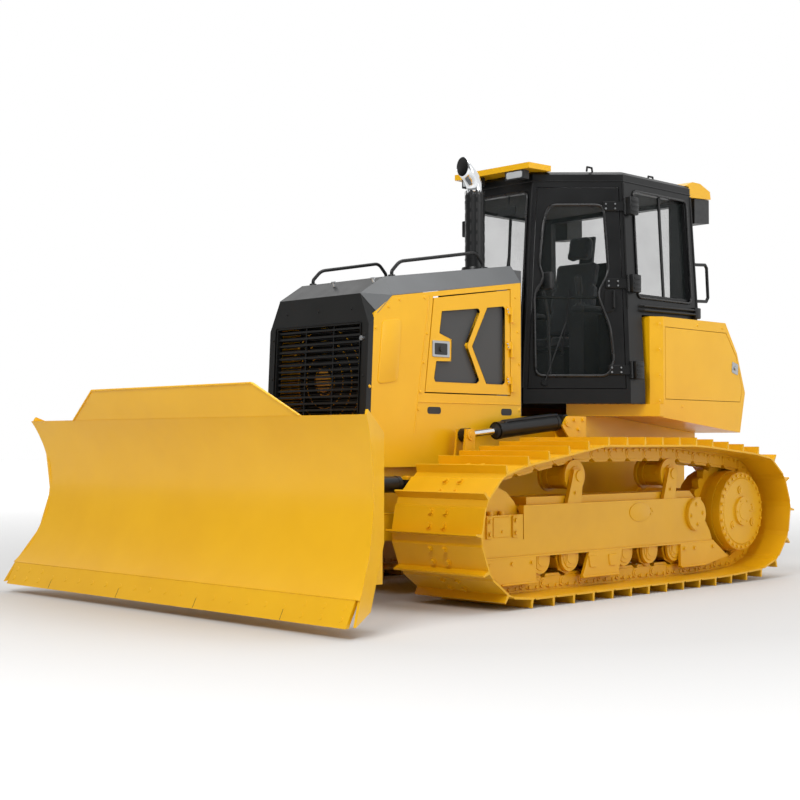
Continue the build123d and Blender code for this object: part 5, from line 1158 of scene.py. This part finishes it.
# weld bead above the edge and rolled bar along the raised guard
tube(bm, [(-1590, -2338, 188), (1590, -2338, 188)], 4, 8)
tube(bm, [(-1072, -2249, 1087), (-762, -2318, 1262), (762, -2318, 1262), (1072, -2249, 1087)], 6, 10)
piece("blade_beads", bm, YELLOW, "blade")

# smooth steel skin over the flats of the blade's curve: an arc spun round the curve's middle, its ends cut
# to the flare and its rim turned back
CURVE = (-2912.907, 698.422)
CURVE_R = 770.126
FACE_FOOT, FACE_TOP = 187.0, 1086.0
SKIN = 2.4                              # how far the skin stands off the corners between the flats
low, high = (asin((z - CURVE[1]) / (CURVE_R - SKIN)) for z in (FACE_FOOT, FACE_TOP))
bm = bmesh.new()
foot = [bm.verts.new((x, CURVE[0] + (CURVE_R - SKIN) * cos(low), FACE_FOOT)) for x in (-EDGE_X, EDGE_X)]
bmesh.ops.spin(bm, geom=[*foot, bm.edges.new(foot)], cent=(0, *CURVE), axis=(1, 0, 0), angle=high - low,
               steps=60)
for sign in (-1, 1):
    bmesh.ops.bisect_plane(bm, geom=bm.verts[:] + bm.edges[:] + bm.faces[:], plane_no=(sign, END_FLARE, 0),
                           plane_co=(sign * (EDGE_X - 1.5), EDGE_Y, 0), clear_outer=True)
rim = bmesh.ops.extrude_edge_only(bm, edges=[e for e in bm.edges if e.is_boundary])["geom"]
bmesh.ops.translate(bm, verts=verts_of(rim), vec=(0, SKIN - 0.2, 0))
piece("blade_face", bm, YELLOW, "blade", sharp=50)


# ================================================================ studio
def studio():
    """Pale seamless floor, white world, large soft lamps and the Standard view transform."""
    bm = bmesh.new()
    bmesh.ops.create_grid(bm, x_segments=1, y_segments=1, size=60)
    mesh = bpy.data.meshes.new("floor")
    bm.to_mesh(mesh)
    bm.free()
    floor = bpy.data.objects.new("floor", mesh)
    bpy.context.collection.objects.link(floor)
    mat, tree, shader = new_material("studio_floor")
    at = place(tree)
    # pale grey under the machine, painted lighter towards white with distance and glowing there: painted light
    # that blends the floor into the white world
    far = add(tree, "ShaderNodeVectorMath", {"operation": "LENGTH"}, {0: at})
    fade = add(tree, "ShaderNodeMapRange", {"From Min": 3.0, "From Max": 16.0},
               {"Value": far.outputs["Value"]})
    shade = add(tree, "ShaderNodeMix", {"data_type": "RGBA", 6: linear("c6c6c6"), 7: linear("f4f4f4")},
                {"Factor": fade.outputs["Result"]})
    tree.links.new(shade.outputs[2], shader.inputs["Base Color"])
    # the floor's glow is painted light, not a lamp
    shader.inputs["Emission Color"].default_value = linear("ffffff")
    lift = add(tree, "ShaderNodeMath", {"operation": "MULTIPLY", 1: 0.45}, {0: fade.outputs["Result"]})
    tree.links.new(lift.outputs["Value"], shader.inputs["Emission Strength"])
    shader.inputs["Roughness"].default_value = 0.75
    mesh.materials.append(mat)
    world = bpy.data.worlds.new("studio")
    bpy.context.scene.world = world
    world.use_nodes = True
    back = world.node_tree.nodes["Background"]
    back.inputs["Color"].default_value = linear("ffffff")
    # white behind the machine, dimmer in front of it
    tree = world.node_tree
    way = add(tree, "ShaderNodeTexCoord").outputs["Generated"]
    ahead = add(tree, "ShaderNodeVectorMath", {"operation": "DOT_PRODUCT", 1: (0.0, 1.0, 0.0)}, {0: way})
    glow = add(tree, "ShaderNodeMapRange",
               {"From Min": -0.45, "From Max": 0.2, "To Min": 0.28, "To Max": 1.0},
               {"Value": ahead.outputs["Value"]})
    tree.links.new(glow.outputs["Result"], back.inputs["Strength"])
    bpy.context.scene.view_settings.view_transform = "Standard"
    # (place, aim, size, power) of the lamps
    for name, spot, aim, size, power in (
        ("key", (3.5, -9.0, 8.5), (0, -1, 1), 4.5, 800),
        ("side", (11.0, 1.0, 5.5), (0, 0.5, 1.2), 6.0, 200),
        ("top", (1.0, 2.0, 11.0), (0, 0, 1), 7.0, 460),
    ):
        lamp = bpy.data.lights.new(name, "AREA")
        lamp.shape = "SQUARE"
        lamp.size = size
        lamp.energy = power
        obj = bpy.data.objects.new(name, lamp)
        obj.location = spot
        obj.rotation_euler = (Vector(aim) - Vector(spot)).to_track_quat("-Z", "Y").to_euler()
        bpy.context.collection.objects.link(obj)


def camera():
    """The three-quarter view from the front left, a little below the cab's floor."""
    lens = bpy.data.cameras.new("view")
    lens.lens = 64.65
    lens.sensor_width = 36.0
    lens.clip_end = 200
    obj = bpy.data.objects.new("view", lens)
    obj.location = (6.686, -7.075, 0.943)
    heading = radians(45.31)
    rise = radians(1.736)
    way = Vector((-sin(heading) * cos(rise), cos(heading) * cos(rise), sin(rise)))
    obj.rotation_euler = way.to_track_quat("-Z", "Y").to_euler()
    bpy.context.collection.objects.link(obj)
    bpy.context.scene.camera = obj


studio()
camera()
